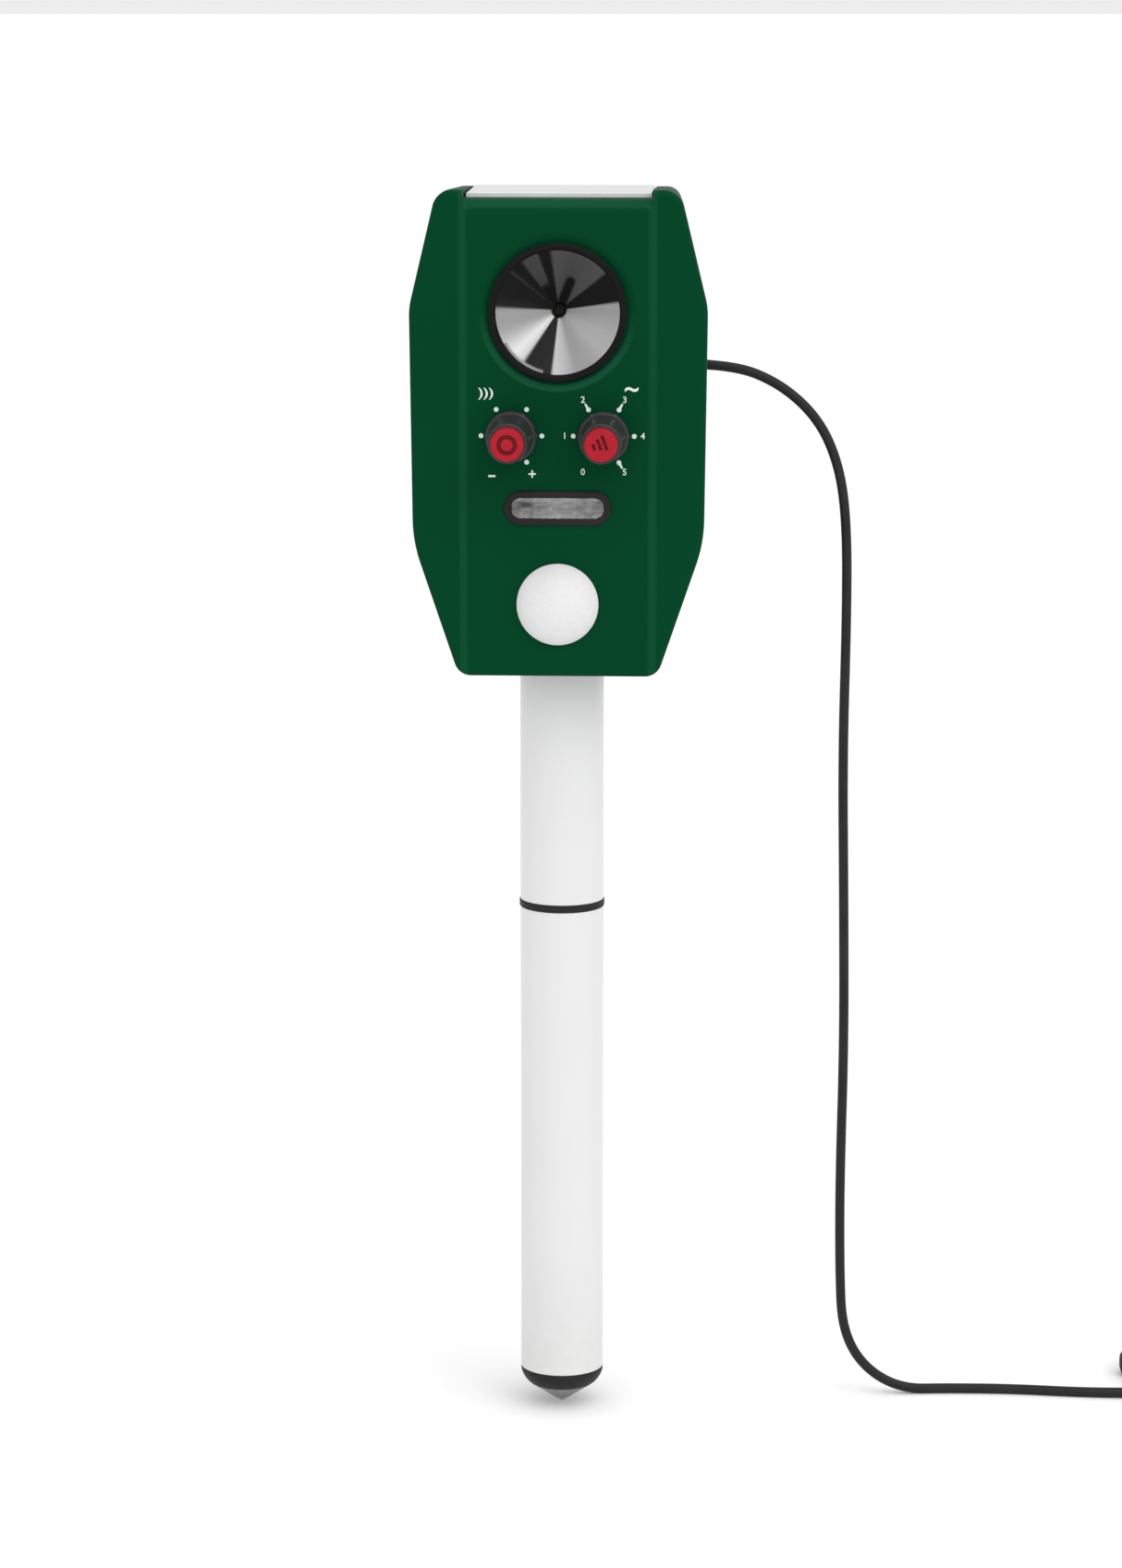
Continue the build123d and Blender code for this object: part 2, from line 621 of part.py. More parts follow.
with BuildPart() as solar_panel:
    with BuildSketch(Plane.XY.offset(SOLAR_FLOOR_Z + SOLAR_TAPE)):
        with Locations((0, (solar_front + solar_rear) / 2)):
            Rectangle(2 * solar_half_width, solar_rear - solar_front - 2 * SOLAR_FIT)
    extrude(amount=SOLAR_THICKNESS)
    fillet(solar_panel.faces().sort_by(Axis.Z)[-1].edges(), radius=0.3)
solar_panel.part.label = "solar_panel"
export_step(solar_panel.part, "parts/solar_panel.step")

# ---- Speaker ----

bezel_barrel = BEZEL_RADIUS - 0.9
speaker_bezel = turned(
    [
        (FRONT_Y - 1.0, BEZEL_OPENING + 0.6),
        (FRONT_Y - 1.0, BEZEL_RADIUS - 0.4),
        (FRONT_Y - 0.6, BEZEL_RADIUS),
        (FRONT_Y + BEZEL_DISH_DEPTH, BEZEL_RADIUS),
        (FRONT_Y + BEZEL_DISH_DEPTH, bezel_barrel),
        (INNER_FRONT_Y, bezel_barrel),
        (INNER_FRONT_Y, BEZEL_OPENING),
        (FRONT_Y - 0.4, BEZEL_OPENING),
    ],
    z=SPEAKER_Z,
)
speaker_bezel.part.label = "speaker_bezel"
export_step(speaker_bezel.part, "parts/speaker_bezel.step")

cone_rim_y = FRONT_Y + 1.0
cone_apex_y = cone_rim_y + CONE_DEPTH
speaker_cone = turned(
    [
        (cone_rim_y, BEZEL_OPENING),
        (cone_rim_y + CONE_WALL, BEZEL_OPENING),
        (cone_apex_y + CONE_WALL, DOME_RADIUS + 0.2),
        (cone_apex_y, DOME_RADIUS + 0.2),
    ],
    z=SPEAKER_Z,
)
speaker_cone.part.label = "speaker_cone"
export_step(speaker_cone.part, "parts/speaker_cone.step")

piezo_front_y = cone_apex_y + 3.4
speaker_dome = turned(
    [
        (cone_apex_y - 1.0, 0),
        (cone_apex_y - 1.0, DOME_RADIUS - 1.0),
        (cone_apex_y - 0.4, DOME_RADIUS - 0.2),
        (cone_apex_y + 0.4, DOME_RADIUS),
        (piezo_front_y, DOME_RADIUS),
        (piezo_front_y, 0),
    ],
    z=SPEAKER_Z,
)
speaker_dome.part.label = "speaker_dome"
export_step(speaker_dome.part, "parts/speaker_dome.step")

piezo_rear_y = piezo_front_y + 0.8
piezo_disc = turned(
    [(piezo_front_y, 0), (piezo_front_y, 14.0), (piezo_rear_y, 14.0), (piezo_rear_y, 0)],
    z=SPEAKER_Z,
)
piezo_disc.part.label = "piezo_disc"
export_step(piezo_disc.part, "parts/piezo_disc.step")

frame_bore = BEZEL_OPENING + 0.4
frame_radius = BEZEL_RADIUS - 0.4
speaker_frame = turned(
    [
        (INNER_FRONT_Y, frame_bore),
        (INNER_FRONT_Y, frame_radius + 2.0),
        (INNER_FRONT_Y + 1.2, frame_radius + 2.0),
        (INNER_FRONT_Y + 1.2, frame_radius),
        (piezo_rear_y + 3.0, frame_radius),
        (piezo_rear_y + 3.0, 4.0),
        (piezo_rear_y + 1.8, 4.0),
        (piezo_rear_y + 1.8, 12.4),
        (piezo_rear_y, 12.4),
        (piezo_rear_y, frame_bore),
    ],
    z=SPEAKER_Z,
)
speaker_frame.part.label = "speaker_frame"
export_step(speaker_frame.part, "parts/speaker_frame.step")

# ---- Lamp window ----

window_inner = (WINDOW_LENGTH - 2 * WINDOW_RIM, WINDOW_HEIGHT - 2 * WINDOW_RIM)
lamp_x = (-LAMP_SPACING, 0, LAMP_SPACING)
barrel_rear_y = INNER_FRONT_Y + 0.5
with BuildPart() as led_bezel:
    with BuildSketch(facing(FRONT_Y)):
        with Locations((0, LAMP_Z)):
            SlotOverall(WINDOW_LENGTH, WINDOW_HEIGHT)
    extrude(amount=WINDOW_PROUD)
    fillet(led_bezel.faces().sort_by(Axis.Y)[0].edges(), radius=0.5)
    with BuildSketch(facing(barrel_rear_y)):
        with Locations((0, LAMP_Z)):
            SlotOverall(WINDOW_LENGTH - 2.0, WINDOW_HEIGHT - 2.0)
    extrude(amount=barrel_rear_y - FRONT_Y)
    with BuildSketch(facing(barrel_rear_y)):
        with Locations((0, LAMP_Z)):
            SlotOverall(*window_inner)
    extrude(amount=barrel_rear_y - FRONT_Y + 2, mode=Mode.SUBTRACT)
led_bezel.part.label = "led_bezel"
export_step(led_bezel.part, "parts/led_bezel.step")

with BuildPart() as led_lens:
    with BuildSketch(facing(FRONT_Y + 1.8)):
        with Locations((0, LAMP_Z)):
            SlotOverall(window_inner[0] - 0.2, window_inner[1] - 0.2)
    extrude(amount=2.0)
led_lens.part.label = "led_lens"
export_step(led_lens.part, "parts/led_lens.step")

reflector_depth = 5.0
with BuildPart() as led_reflector:
    with BuildSketch(facing(barrel_rear_y + reflector_depth)):
        with Locations((0, LAMP_Z)):
            SlotOverall(WINDOW_LENGTH - 2.0, WINDOW_HEIGHT - 2.0)
    extrude(amount=reflector_depth)
    with BuildSketch(facing(barrel_rear_y + reflector_depth - 1.2)):
        with Locations((0, LAMP_Z)):
            SlotOverall(window_inner[0] - 3.0, window_inner[1] - 0.8)
    extrude(amount=reflector_depth, mode=Mode.SUBTRACT)
    with BuildSketch(facing(barrel_rear_y + reflector_depth + 1)):
        with Locations(*[(x, LAMP_Z) for x in lamp_x]):
            Circle(LAMP_RADIUS + 0.1)
    extrude(amount=3, mode=Mode.SUBTRACT)
led_reflector.part.label = "led_reflector"
export_step(led_reflector.part, "parts/led_reflector.step")

# Three clear lamps on the board, each with a flange and a round nose.
lamp_length = 6.4
with BuildPart() as led_lamps:
    with BuildSketch(facing(BOARD_FRONT_Y)):
        with Locations(*[(x, LAMP_Z) for x in lamp_x]):
            Circle(LAMP_RADIUS)
    extrude(amount=lamp_length)
    fillet(led_lamps.faces().group_by(Axis.Y)[0].edges(), radius=LAMP_RADIUS - 0.1)
    with BuildSketch(facing(BOARD_FRONT_Y)):
        with Locations(*[(x, LAMP_Z) for x in lamp_x]):
            Circle(LAMP_RADIUS + 0.4)
    extrude(amount=0.9)
led_lamps.part.label = "led_lamps"
export_step(led_lamps.part, "parts/led_lamps.step")

# ---- Motion sensor ----

dome_radius = (DOME_LENS_RADIUS**2 + DOME_LENS_RISE**2) / (2 * DOME_LENS_RISE)
dome_base_y = FRONT_Y - DOME_LENS_STAND
dome_centre_y = dome_base_y - DOME_LENS_RISE + dome_radius
dome_bore = DOME_LENS_RADIUS - DOME_LENS_WALL
inner_radius = dome_radius - DOME_LENS_WALL
inner_base_y = dome_centre_y - math.sqrt(inner_radius**2 - dome_bore**2)
lens_flange = DOME_LENS_RADIUS + 1.6
lens_rear_y = INNER_FRONT_Y + 1.2
with BuildPart() as pir_lens:
    with BuildSketch(Plane(origin=(0, 0, SENSOR_Z), x_dir=(0, 1, 0), z_dir=(1, 0, 0))):
        with BuildLine():
            RadiusArc(
                (dome_base_y, DOME_LENS_RADIUS), (dome_centre_y - dome_radius, 0), -dome_radius
            )
            Line((dome_centre_y - dome_radius, 0), (dome_centre_y - inner_radius, 0))
            RadiusArc((dome_centre_y - inner_radius, 0), (inner_base_y, dome_bore), inner_radius)
            Polyline(
                (inner_base_y, dome_bore),
                (lens_rear_y, dome_bore),
                (lens_rear_y, lens_flange),
                (INNER_FRONT_Y, lens_flange),
                (INNER_FRONT_Y, DOME_LENS_RADIUS),
                (dome_base_y, DOME_LENS_RADIUS),
            )
        make_face()
    revolve(axis=Axis((0, 0, SENSOR_Z), (0, 1, 0)))
pir_lens.part.label = "pir_lens"
export_step(pir_lens.part, "parts/pir_lens.step")

pir_retainer = turned(
    [
        (lens_rear_y, dome_bore),
        (lens_rear_y, lens_flange),
        (lens_rear_y + 1.5, lens_flange),
        (lens_rear_y + 1.5, dome_bore),
    ],
    z=SENSOR_Z,
)
pir_retainer.part.label = "pir_retainer"
export_step(pir_retainer.part, "parts/pir_retainer.step")

pir_sensor = turned(
    [
        (BOARD_FRONT_Y, 0),
        (BOARD_FRONT_Y, SENSOR_CAN_RADIUS + 0.8),
        (BOARD_FRONT_Y - 0.8, SENSOR_CAN_RADIUS + 0.8),
        (BOARD_FRONT_Y - 0.8, SENSOR_CAN_RADIUS),
        (BOARD_FRONT_Y - 4.4, SENSOR_CAN_RADIUS),
        (BOARD_FRONT_Y - 4.8, SENSOR_CAN_RADIUS - 0.4),
        (BOARD_FRONT_Y - 4.8, 0),
    ],
    z=SENSOR_Z,
)
pir_sensor.part.label = "pir_sensor"
export_step(pir_sensor.part, "parts/pir_sensor.step")

# ---- Circuit board ----

with BuildPart() as main_board:
    with BuildSketch(facing(BOARD_REAR_Y)) as board_outline:
        with Locations((0, BOARD_BOTTOM_Z)):
            Rectangle(
                2 * BOARD_HALF_WIDTH,
                BOARD_TOP_Z - BOARD_BOTTOM_Z,
                align=(Align.CENTER, Align.MIN),
            )
        chamfer(board_outline.vertices().group_by(Axis.Y)[0], length=5.0)
        with Locations(*BOARD_SCREWS):
            Circle(BOARD_SCREW_RADIUS + 0.15, mode=Mode.SUBTRACT)
    extrude(amount=BOARD_THICKNESS)
main_board.part.label = "main_board"
export_step(main_board.part, "parts/main_board.step")

with BuildPart() as board_screws:
    with BuildSketch(facing(BOARD_REAR_Y)):
        with Locations(*BOARD_SCREWS):
            Circle(BOARD_SCREW_RADIUS)
    extrude(amount=BOARD_REAR_Y - INNER_FRONT_Y - 1.4)
    with BuildSketch(facing(BOARD_REAR_Y + 1.2)):
        with Locations(*BOARD_SCREWS):
            Circle(BOARD_SCREW_RADIUS + 0.9)
    extrude(amount=1.2)
board_screws.part.label = "board_screws"
export_step(board_screws.part, "parts/board_screws.step")

with BuildPart() as board_capacitors:
    with BuildSketch(facing(BOARD_REAR_Y + 11.0)):
        with Locations((-17.0, DIAL_Z), (-17.0, DIAL_Z - 12.0)):
            Circle(4.0)
    extrude(amount=11.0)
    fillet(board_capacitors.faces().group_by(Axis.Y)[-1].edges(), radius=0.6)
board_capacitors.part.label = "board_capacitors"
export_step(board_capacitors.part, "parts/board_capacitors.step")

# Step-up transformer that drives the piezo disc: a wound bobbin between two ferrite halves.
with BuildPart() as step_up_transformer:
    with Locations((10.0, BOARD_REAR_Y, DIAL_Z - 5.0)):
        Box(13.0, 9.5, 3.2, align=(Align.CENTER, Align.MIN, Align.CENTER))
        Box(4.0, 9.5, 11.0, align=(Align.CENTER, Align.MIN, Align.CENTER))
        Box(9.0, 7.5, 8.6, align=(Align.CENTER, Align.MIN, Align.CENTER))
step_up_transformer.part.label = "step_up_transformer"
export_step(step_up_transformer.part, "parts/step_up_transformer.step")

# Driver chip: a flat body and two rows of pins.
with BuildPart() as driver_chip:
    with Locations((-2.0, BOARD_REAR_Y + 0.1, LAMP_Z - 5.6)):
        Box(9.9, 1.5, 4.0, align=(Align.CENTER, Align.MIN, Align.CENTER))
        with GridLocations(1.27, 0, 7, 1):
            with Locations((0, -0.1, 0)):
                Box(0.45, 0.8, 5.6, align=(Align.CENTER, Align.MIN, Align.CENTER))
driver_chip.part.label = "driver_chip"
export_step(driver_chip.part, "parts/driver_chip.step")

# ---- Dials ----

shaft_bore = SHAFT_RADIUS + SHAFT_FIT
bushing_front_y = FRONT_Y - BUSHING_OUT
bore_end_y = BOARD_FRONT_Y - 2.0
sensitivity_pot = turned(
    [
        (BOARD_FRONT_Y, 0),
        (BOARD_FRONT_Y, DIAL_BODY_RADIUS),
        (INNER_FRONT_Y, DIAL_BODY_RADIUS),
        (INNER_FRONT_Y, BUSHING_RADIUS),
        (bushing_front_y, BUSHING_RADIUS),
        (bushing_front_y, shaft_bore),
        (bore_end_y, shaft_bore),
        (bore_end_y, 0),
    ],
    x=-DIAL_SPREAD,
    z=DIAL_Z,
)
sensitivity_pot.part.label = "sensitivity_pot"
export_step(sensitivity_pot.part, "parts/sensitivity_pot.step")

with BuildPart() as frequency_switch:
    with BuildSketch(facing(BOARD_FRONT_Y)):
        with Locations((DIAL_SPREAD, DIAL_Z)):
            RegularPolygon(radius=DIAL_BODY_RADIUS, side_count=8, rotation=22.5)
    extrude(amount=BOARD_FRONT_Y - INNER_FRONT_Y)
    with BuildSketch(facing(INNER_FRONT_Y)):
        with Locations((DIAL_SPREAD, DIAL_Z)):
            Circle(BUSHING_RADIUS)
    extrude(amount=INNER_FRONT_Y - bushing_front_y)
    with BuildSketch(facing(bore_end_y)):
        with Locations((DIAL_SPREAD, DIAL_Z)):
            Circle(shaft_bore)
    extrude(amount=bore_end_y - bushing_front_y + 1, mode=Mode.SUBTRACT)
frequency_switch.part.label = "frequency_switch"
export_step(frequency_switch.part, "parts/frequency_switch.step")

with BuildPart() as panel_nuts:
    with BuildSketch(facing(FRONT_Y)):
        with Locations((-DIAL_SPREAD, DIAL_Z), (DIAL_SPREAD, DIAL_Z)):
            RegularPolygon(radius=NUT_ACROSS_FLATS / 2, side_count=6, major_radius=False)
            Circle(BUSHING_RADIUS, mode=Mode.SUBTRACT)
    extrude(amount=1.6)
panel_nuts.part.label = "panel_nuts"
export_step(panel_nuts.part, "parts/panel_nuts.step")


def dial_shaft(x):
    """Plain steel shaft: it runs in the bushing's bore and ends in the knob."""
    rear_y = bore_end_y - 0.1
    front_y = FRONT_Y - KNOB_LENGTH + 2.5
    outline = [(rear_y, 0), (rear_y, SHAFT_RADIUS), (front_y, SHAFT_RADIUS), (front_y, 0)]
    return turned(outline, x, DIAL_Z)


def dial_knob(x):
    """Black knob: a wide skirt over the nut, a slightly tapered grip, and a seat for the cap."""
    rear_y = FRONT_Y - KNOB_GAP
    skirt_y = rear_y - KNOB_SKIRT_LENGTH
    tip_y = FRONT_Y - KNOB_LENGTH
    nut_room_y = FRONT_Y - BUSHING_OUT - 0.8
    nut_room = NUT_ACROSS_FLATS / 2 / math.cos(math.pi / 6) + 0.4
    return turned(
        [
            (rear_y, nut_room),
            (rear_y, KNOB_SKIRT_RADIUS),
            (skirt_y + 0.5, KNOB_SKIRT_RADIUS),
            (skirt_y, KNOB_SKIRT_RADIUS - 0.5),
            (skirt_y, KNOB_BODY_RADIUS),
            (tip_y + 0.5, KNOB_TIP_RADIUS),
            (tip_y, KNOB_TIP_RADIUS - 0.5),
            (tip_y, KNOB_CAP_RADIUS),
            (tip_y + 1.0, KNOB_CAP_RADIUS),
            (tip_y + 1.0, 0),
            (tip_y + 2.5, 0),
            (tip_y + 2.5, SHAFT_RADIUS),
            (nut_room_y, SHAFT_RADIUS),
            (nut_room_y, nut_room),
        ],
        x,
        DIAL_Z,
    )


def dial_cap(x):
    """Red cap, pressed into the end of the knob."""
    seat_y = FRONT_Y - KNOB_LENGTH + 1.0
    front_y = FRONT_Y - KNOB_LENGTH - KNOB_CAP_LENGTH
    return turned(
        [
            (seat_y, 0),
            (seat_y, KNOB_CAP_RADIUS),
            (front_y + 0.4, KNOB_CAP_RADIUS),
            (front_y, KNOB_CAP_RADIUS - 0.4),
            (front_y, 0),
        ],
        x,
        DIAL_Z,
    )


for dial, dial_x in (("sensitivity", -DIAL_SPREAD), ("frequency", DIAL_SPREAD)):
    for piece_name, maker in (("shaft", dial_shaft), ("knob", dial_knob), ("cap", dial_cap)):
        dial_piece = maker(dial_x)
        dial_piece.part.label = f"{dial}_{piece_name}"
        export_step(dial_piece.part, f"parts/{dial}_{piece_name}.step")

# ---- Battery bay ----

tray_front_y = TRAY_FLOOR_Y - TRAY_WALL
with BuildPart() as battery_tray:
    with BuildSketch(facing(INNER_REAR_Y)):
        with Locations((0, BAY_Z)):
            Rectangle(2 * (BAY_HALF_LENGTH + TRAY_WALL), 2 * (BAY_HALF_HEIGHT + TRAY_WALL))
    extrude(amount=INNER_REAR_Y - tray_front_y)
    with BuildSketch(facing(INNER_REAR_Y)):
        with Locations((0, BAY_Z)):
            Rectangle(2 * BAY_HALF_LENGTH, 2 * BAY_HALF_HEIGHT)
    extrude(amount=INNER_REAR_Y - TRAY_FLOOR_Y, mode=Mode.SUBTRACT)
battery_tray.part.label = "battery_tray"
export_step(battery_tray.part, "parts/battery_tray.step")

cell_y = TRAY_FLOOR_Y + 0.3 + CELL_RADIUS
cell_places = [(cell_y, BAY_Z + CELL_PITCH * (i - (CELL_COUNT - 1) / 2)) for i in range(CELL_COUNT)]
with BuildPart() as battery_cells:
    with BuildSketch(Plane.YZ.offset(-CELL_LENGTH / 2)):
        with Locations(*cell_places):
            Circle(CELL_RADIUS)
    extrude(amount=CELL_LENGTH - 1.0)
    fillet(battery_cells.edges(), radius=0.5)
    with BuildSketch(Plane.YZ.offset(CELL_LENGTH / 2 - 1.0)):
        with Locations(*cell_places):
            Circle(2.7)
    extrude(amount=1.0)
battery_cells.part.label = "battery_cells"
export_step(battery_cells.part, "parts/battery_cells.step")

# Spring plates at both ends of the cells: a plate on the tray's wall and a coned spring on it.
with BuildPart() as battery_contacts:
    for side in (-1, 1):
        with Locations(*[(side * (BAY_HALF_LENGTH - 0.2), y, z) for y, z in cell_places]):
            Box(0.4, 10.0, 10.0)
        spring = BAY_END_ROOM - 0.4
        with Locations(*[(side * (CELL_LENGTH / 2 + spring / 2), y, z) for y, z in cell_places]):
            Cone(3.4, 2.2, spring, rotation=(0, -90 * side, 0))
battery_contacts.part.label = "battery_contacts"
export_step(battery_contacts.part, "parts/battery_contacts.step")

# ---- Battery door, hinged along its top edge and held by one screw at the bottom ----

door_half_width = BAY_HALF_LENGTH + DOOR_OVERLAP
door_top = BAY_Z + BAY_HALF_HEIGHT + DOOR_OVERLAP
door_bottom = BAY_Z - BAY_HALF_HEIGHT - DOOR_OVERLAP - DOOR_TAB
seal_inner = (BAY_HALF_LENGTH + 0.6, BAY_HALF_HEIGHT + 0.6)
seal_half = (seal_inner[0] + SEAL_WIDTH, seal_inner[1] + SEAL_WIDTH)
with BuildPart() as battery_door:
    with BuildSketch(facing(DOOR_OUTER_Y)):
        with Locations((0, (door_top + door_bottom) / 2)):
            RectangleRounded(2 * door_half_width, door_top - door_bottom, 3.0)
    extrude(amount=DOOR_THICKNESS)
    fillet(battery_door.faces().sort_by(Axis.Y)[-1].edges(), radius=0.8)
    with BuildSketch(Plane.YZ.offset(-KNUCKLE_HALF_LENGTH)):
        with Locations((HINGE_Y, HINGE_Z)):
            Circle(KNUCKLE_RADIUS)
        with Locations((HINGE_Y - KNUCKLE_RADIUS, door_top - 1.0)):
            Rectangle(
                DOOR_OUTER_Y - HINGE_Y + KNUCKLE_RADIUS - 0.6,
                HINGE_Z - door_top + 1.0,
                align=(Align.MIN, Align.MIN),
            )
        with Locations((HINGE_Y, HINGE_Z)):
            Circle(HINGE_PIN_RADIUS + HINGE_FIT, mode=Mode.SUBTRACT)
    extrude(amount=2 * KNUCKLE_HALF_LENGTH)
    with BuildSketch(facing(DOOR_INNER_Y + 0.9)):
        with Locations((0, BAY_Z)):
            Rectangle(2 * seal_half[0], 2 * seal_half[1])
            Rectangle(2 * seal_inner[0], 2 * seal_inner[1], mode=Mode.SUBTRACT)
    extrude(amount=2, mode=Mode.SUBTRACT)
    with BuildSketch(facing(DOOR_OUTER_Y + 1)):
        with Locations((0, DOOR_SCREW_Z)):
            Circle(SCREW_RADIUS + 0.3)
    extrude(amount=DOOR_THICKNESS + 2, mode=Mode.SUBTRACT)
battery_door.part.label = "battery_door"
export_step(battery_door.part, "parts/battery_door.step")

with BuildPart() as door_seal:
    with BuildSketch(facing(DOOR_INNER_Y + 0.9)):
        with Locations((0, BAY_Z)):
            Rectangle(2 * seal_half[0], 2 * seal_half[1])
            Rectangle(2 * seal_inner[0], 2 * seal_inner[1], mode=Mode.SUBTRACT)
    extrude(amount=1.1)
door_seal.part.label = "door_seal"
export_step(door_seal.part, "parts/door_seal.step")

with BuildPart() as door_hinge_pin:
    with BuildSketch(Plane.YZ.offset(-ear_x - EAR_LENGTH)):
        with Locations((HINGE_Y, HINGE_Z)):
            Circle(HINGE_PIN_RADIUS)
    extrude(amount=2 * (ear_x + EAR_LENGTH))
door_hinge_pin.part.label = "door_hinge_pin"
export_step(door_hinge_pin.part, "parts/door_hinge_pin.step")

washer_y = DOOR_OUTER_Y + 0.5
with BuildPart() as door_screw:
    with BuildSketch(facing(washer_y + 2.4)):
        with Locations((0, DOOR_SCREW_Z)):
            Circle(SCREW_RADIUS + 2.0)
    extrude(amount=2.4)
    fillet(door_screw.faces().sort_by(Axis.Y)[-1].edges(), radius=0.5)
    with BuildSketch(facing(washer_y)):
        with Locations((0, DOOR_SCREW_Z)):
            Circle(SCREW_RADIUS)
    extrude(amount=9.2)
    with BuildSketch(facing(washer_y + 2.4)):
        with Locations((0, DOOR_SCREW_Z)):
            Rectangle(8, 0.9)
    extrude(amount=1.1, mode=Mode.SUBTRACT)
door_screw.part.label = "door_screw"
export_step(door_screw.part, "parts/door_screw.step")

door_screw_washer = turned(
    [
        (DOOR_OUTER_Y, SCREW_RADIUS),
        (DOOR_OUTER_Y, SCREW_RADIUS + 1.9),
        (washer_y, SCREW_RADIUS + 1.9),
        (washer_y, SCREW_RADIUS),
    ],
    z=DOOR_SCREW_Z,
)
door_screw_washer.part.label = "door_screw_washer"
export_step(door_screw_washer.part, "parts/door_screw_washer.step")

# ---- Cord ----

# Rubber grommet: a neck through the pocket's floor and a short tapered boot round the cord.
boot_end_x = POCKET_FLOOR_X + 5.0
with BuildPart() as cord_grommet:
    with BuildSketch(Plane(origin=(0, CORD_Y, CORD_Z), x_dir=(1, 0, 0), z_dir=(0, -1, 0))):
        with BuildLine():
            Polyline(
                (POCKET_FLOOR_X - 3.0, CORD_RADIUS),
                (POCKET_FLOOR_X - 3.0, grommet_neck + 1.2),
                (POCKET_FLOOR_X - 1.8, grommet_neck + 1.2),
                (POCKET_FLOOR_X - 1.8, grommet_neck),
                (POCKET_FLOOR_X, grommet_neck),
                (POCKET_FLOOR_X, 3.4),
                (POCKET_FLOOR_X + 1.4, 3.4),
                (POCKET_FLOOR_X + 1.6, 2.9),
                (boot_end_x, 2.1),
                (boot_end_x, CORD_RADIUS),
                close=True,
            )
        make_face()
    revolve(axis=Axis((0, CORD_Y, CORD_Z), (1, 0, 0)))
cord_grommet.part.label = "cord_grommet"
export_step(cord_grommet.part, "parts/cord_grommet.step")


def cord_tube(name, route):
    """A length of cord: straight runs joined by arcs as large as the runs allow."""
    runs = [Vector(*b) - Vector(*a) for a, b in zip(route, route[1:])]
    radii = []
    for before, after in zip(runs, runs[1:]):
        half_turn = math.radians(before.get_angle(after)) / 2
        radii.append(0.45 * min(before.length, after.length) / math.tan(half_turn))
    with BuildPart() as tube:
        with BuildLine() as path:
            FilletPolyline(*route, radius=radii)
        with BuildSketch(Plane(origin=path.line @ 0, z_dir=path.line % 0)):
            Circle(CORD_RADIUS)
        sweep()
    print(name, "radii", [round(radius, 1) for radius in radii])
    length = path.wires()[0].length
    exact = math.pi * CORD_RADIUS**2 * length
    print(name, "length", round(length, 1), "volume ratio", tube.part.volume / exact)
    return tube


coil_y = CORD_Y + COIL_TURN_RADIUS + CORD_RADIUS * (COIL_COLUMNS - 1)
coil_outer = COIL_TURN_RADIUS + COIL_COLUMNS * CORD_RADIUS
coil_inner = COIL_TURN_RADIUS - COIL_COLUMNS * CORD_RADIUS
coil_height = 2 * CORD_RADIUS * COIL_LAYERS
cord_run = cord_tube(
    "cord_run",
    [
        (POCKET_FLOOR_X - 1.0, CORD_Y, CORD_Z),
        (50.0, 10.0, 318.8),
        (64.5, 10.2, 313.0),
        (76.0, 10.0, 302.5),
        (82.2, 9.7, 288.5),
        (84.6, 9.8, 271.0),
        (84.9, 10.5, 243.0),
        (84.2, 11.5, 201.0),
        (85.1, 12.2, 156.0),
        (85.7, 11.6, 111.0),
        (84.9, 10.8, 69.0),
        (85.2, 10.5, 39.0),
        (86.2, 10.6, 20.6),
        (92.8, 10.8, 8.5),
        (104.5, 11.2, 1.5),
        (119.0, 12.6, 1.5),
        (139.0, 12.8, 1.5),
        (161.0, 10.2, 1.5),
        (181.0, 9.7, 1.9),
        (199.0, 10.9, 2.3),
    ],
)
cord_run.part.label = "cord_run"
export_step(cord_run.part, "parts/cord_run.step")

# The rest of the cord, wound into a neat flat coil that lies on the ground on its tie.
with BuildPart() as cord_coil:
    coil_side = Plane(origin=(COIL_X, coil_y, TIE_THICKNESS), x_dir=(1, 0, 0), z_dir=(0, -1, 0))
    with BuildSketch(coil_side):
        with Locations((COIL_TURN_RADIUS, coil_height / 2)):
            RectangleRounded(coil_outer - coil_inner, coil_height, CORD_RADIUS - 0.05)
    revolve(axis=Axis((COIL_X, coil_y, 0), (0, 0, 1)))
cord_coil.part.label = "cord_coil"
export_step(cord_coil.part, "parts/cord_coil.step")

with BuildPart() as cord_tie:
    with BuildSketch(Plane.XZ.offset(-coil_y - TIE_WIDTH / 2)):
        with Locations((COIL_X - COIL_TURN_RADIUS, coil_height / 2 + TIE_THICKNESS)):
            Rectangle(
                coil_outer - coil_inner + 2 * (TIE_THICKNESS + TIE_ROOM),
                coil_height + 2 * TIE_THICKNESS,
            )
            Rectangle(coil_outer - coil_inner + 2 * TIE_ROOM, coil_height, mode=Mode.SUBTRACT)
    extrude(amount=TIE_WIDTH)
cord_tie.part.label = "cord_tie"
export_step(cord_tie.part, "parts/cord_tie.step")

tail_x = COIL_X + coil_outer - CORD_RADIUS
grip_y = coil_y + TAIL_REACH
grip_z = GRIP_HEIGHT / 2
top_turn_z = TIE_THICKNESS + coil_height - CORD_RADIUS
cord_tail = cord_tube(
    "cord_tail",
    [
        (tail_x, coil_y + 1.0, top_turn_z),
        (tail_x + 0.4, coil_y + 0.37 * TAIL_REACH, top_turn_z - 0.2),
        (tail_x - 0.4, coil_y + 0.71 * TAIL_REACH, grip_z + 0.1),
        (tail_x - 0.5, grip_y, grip_z),
    ],
)
cord_tail.part.label = "cord_tail"
export_step(cord_tail.part, "parts/cord_tail.step")

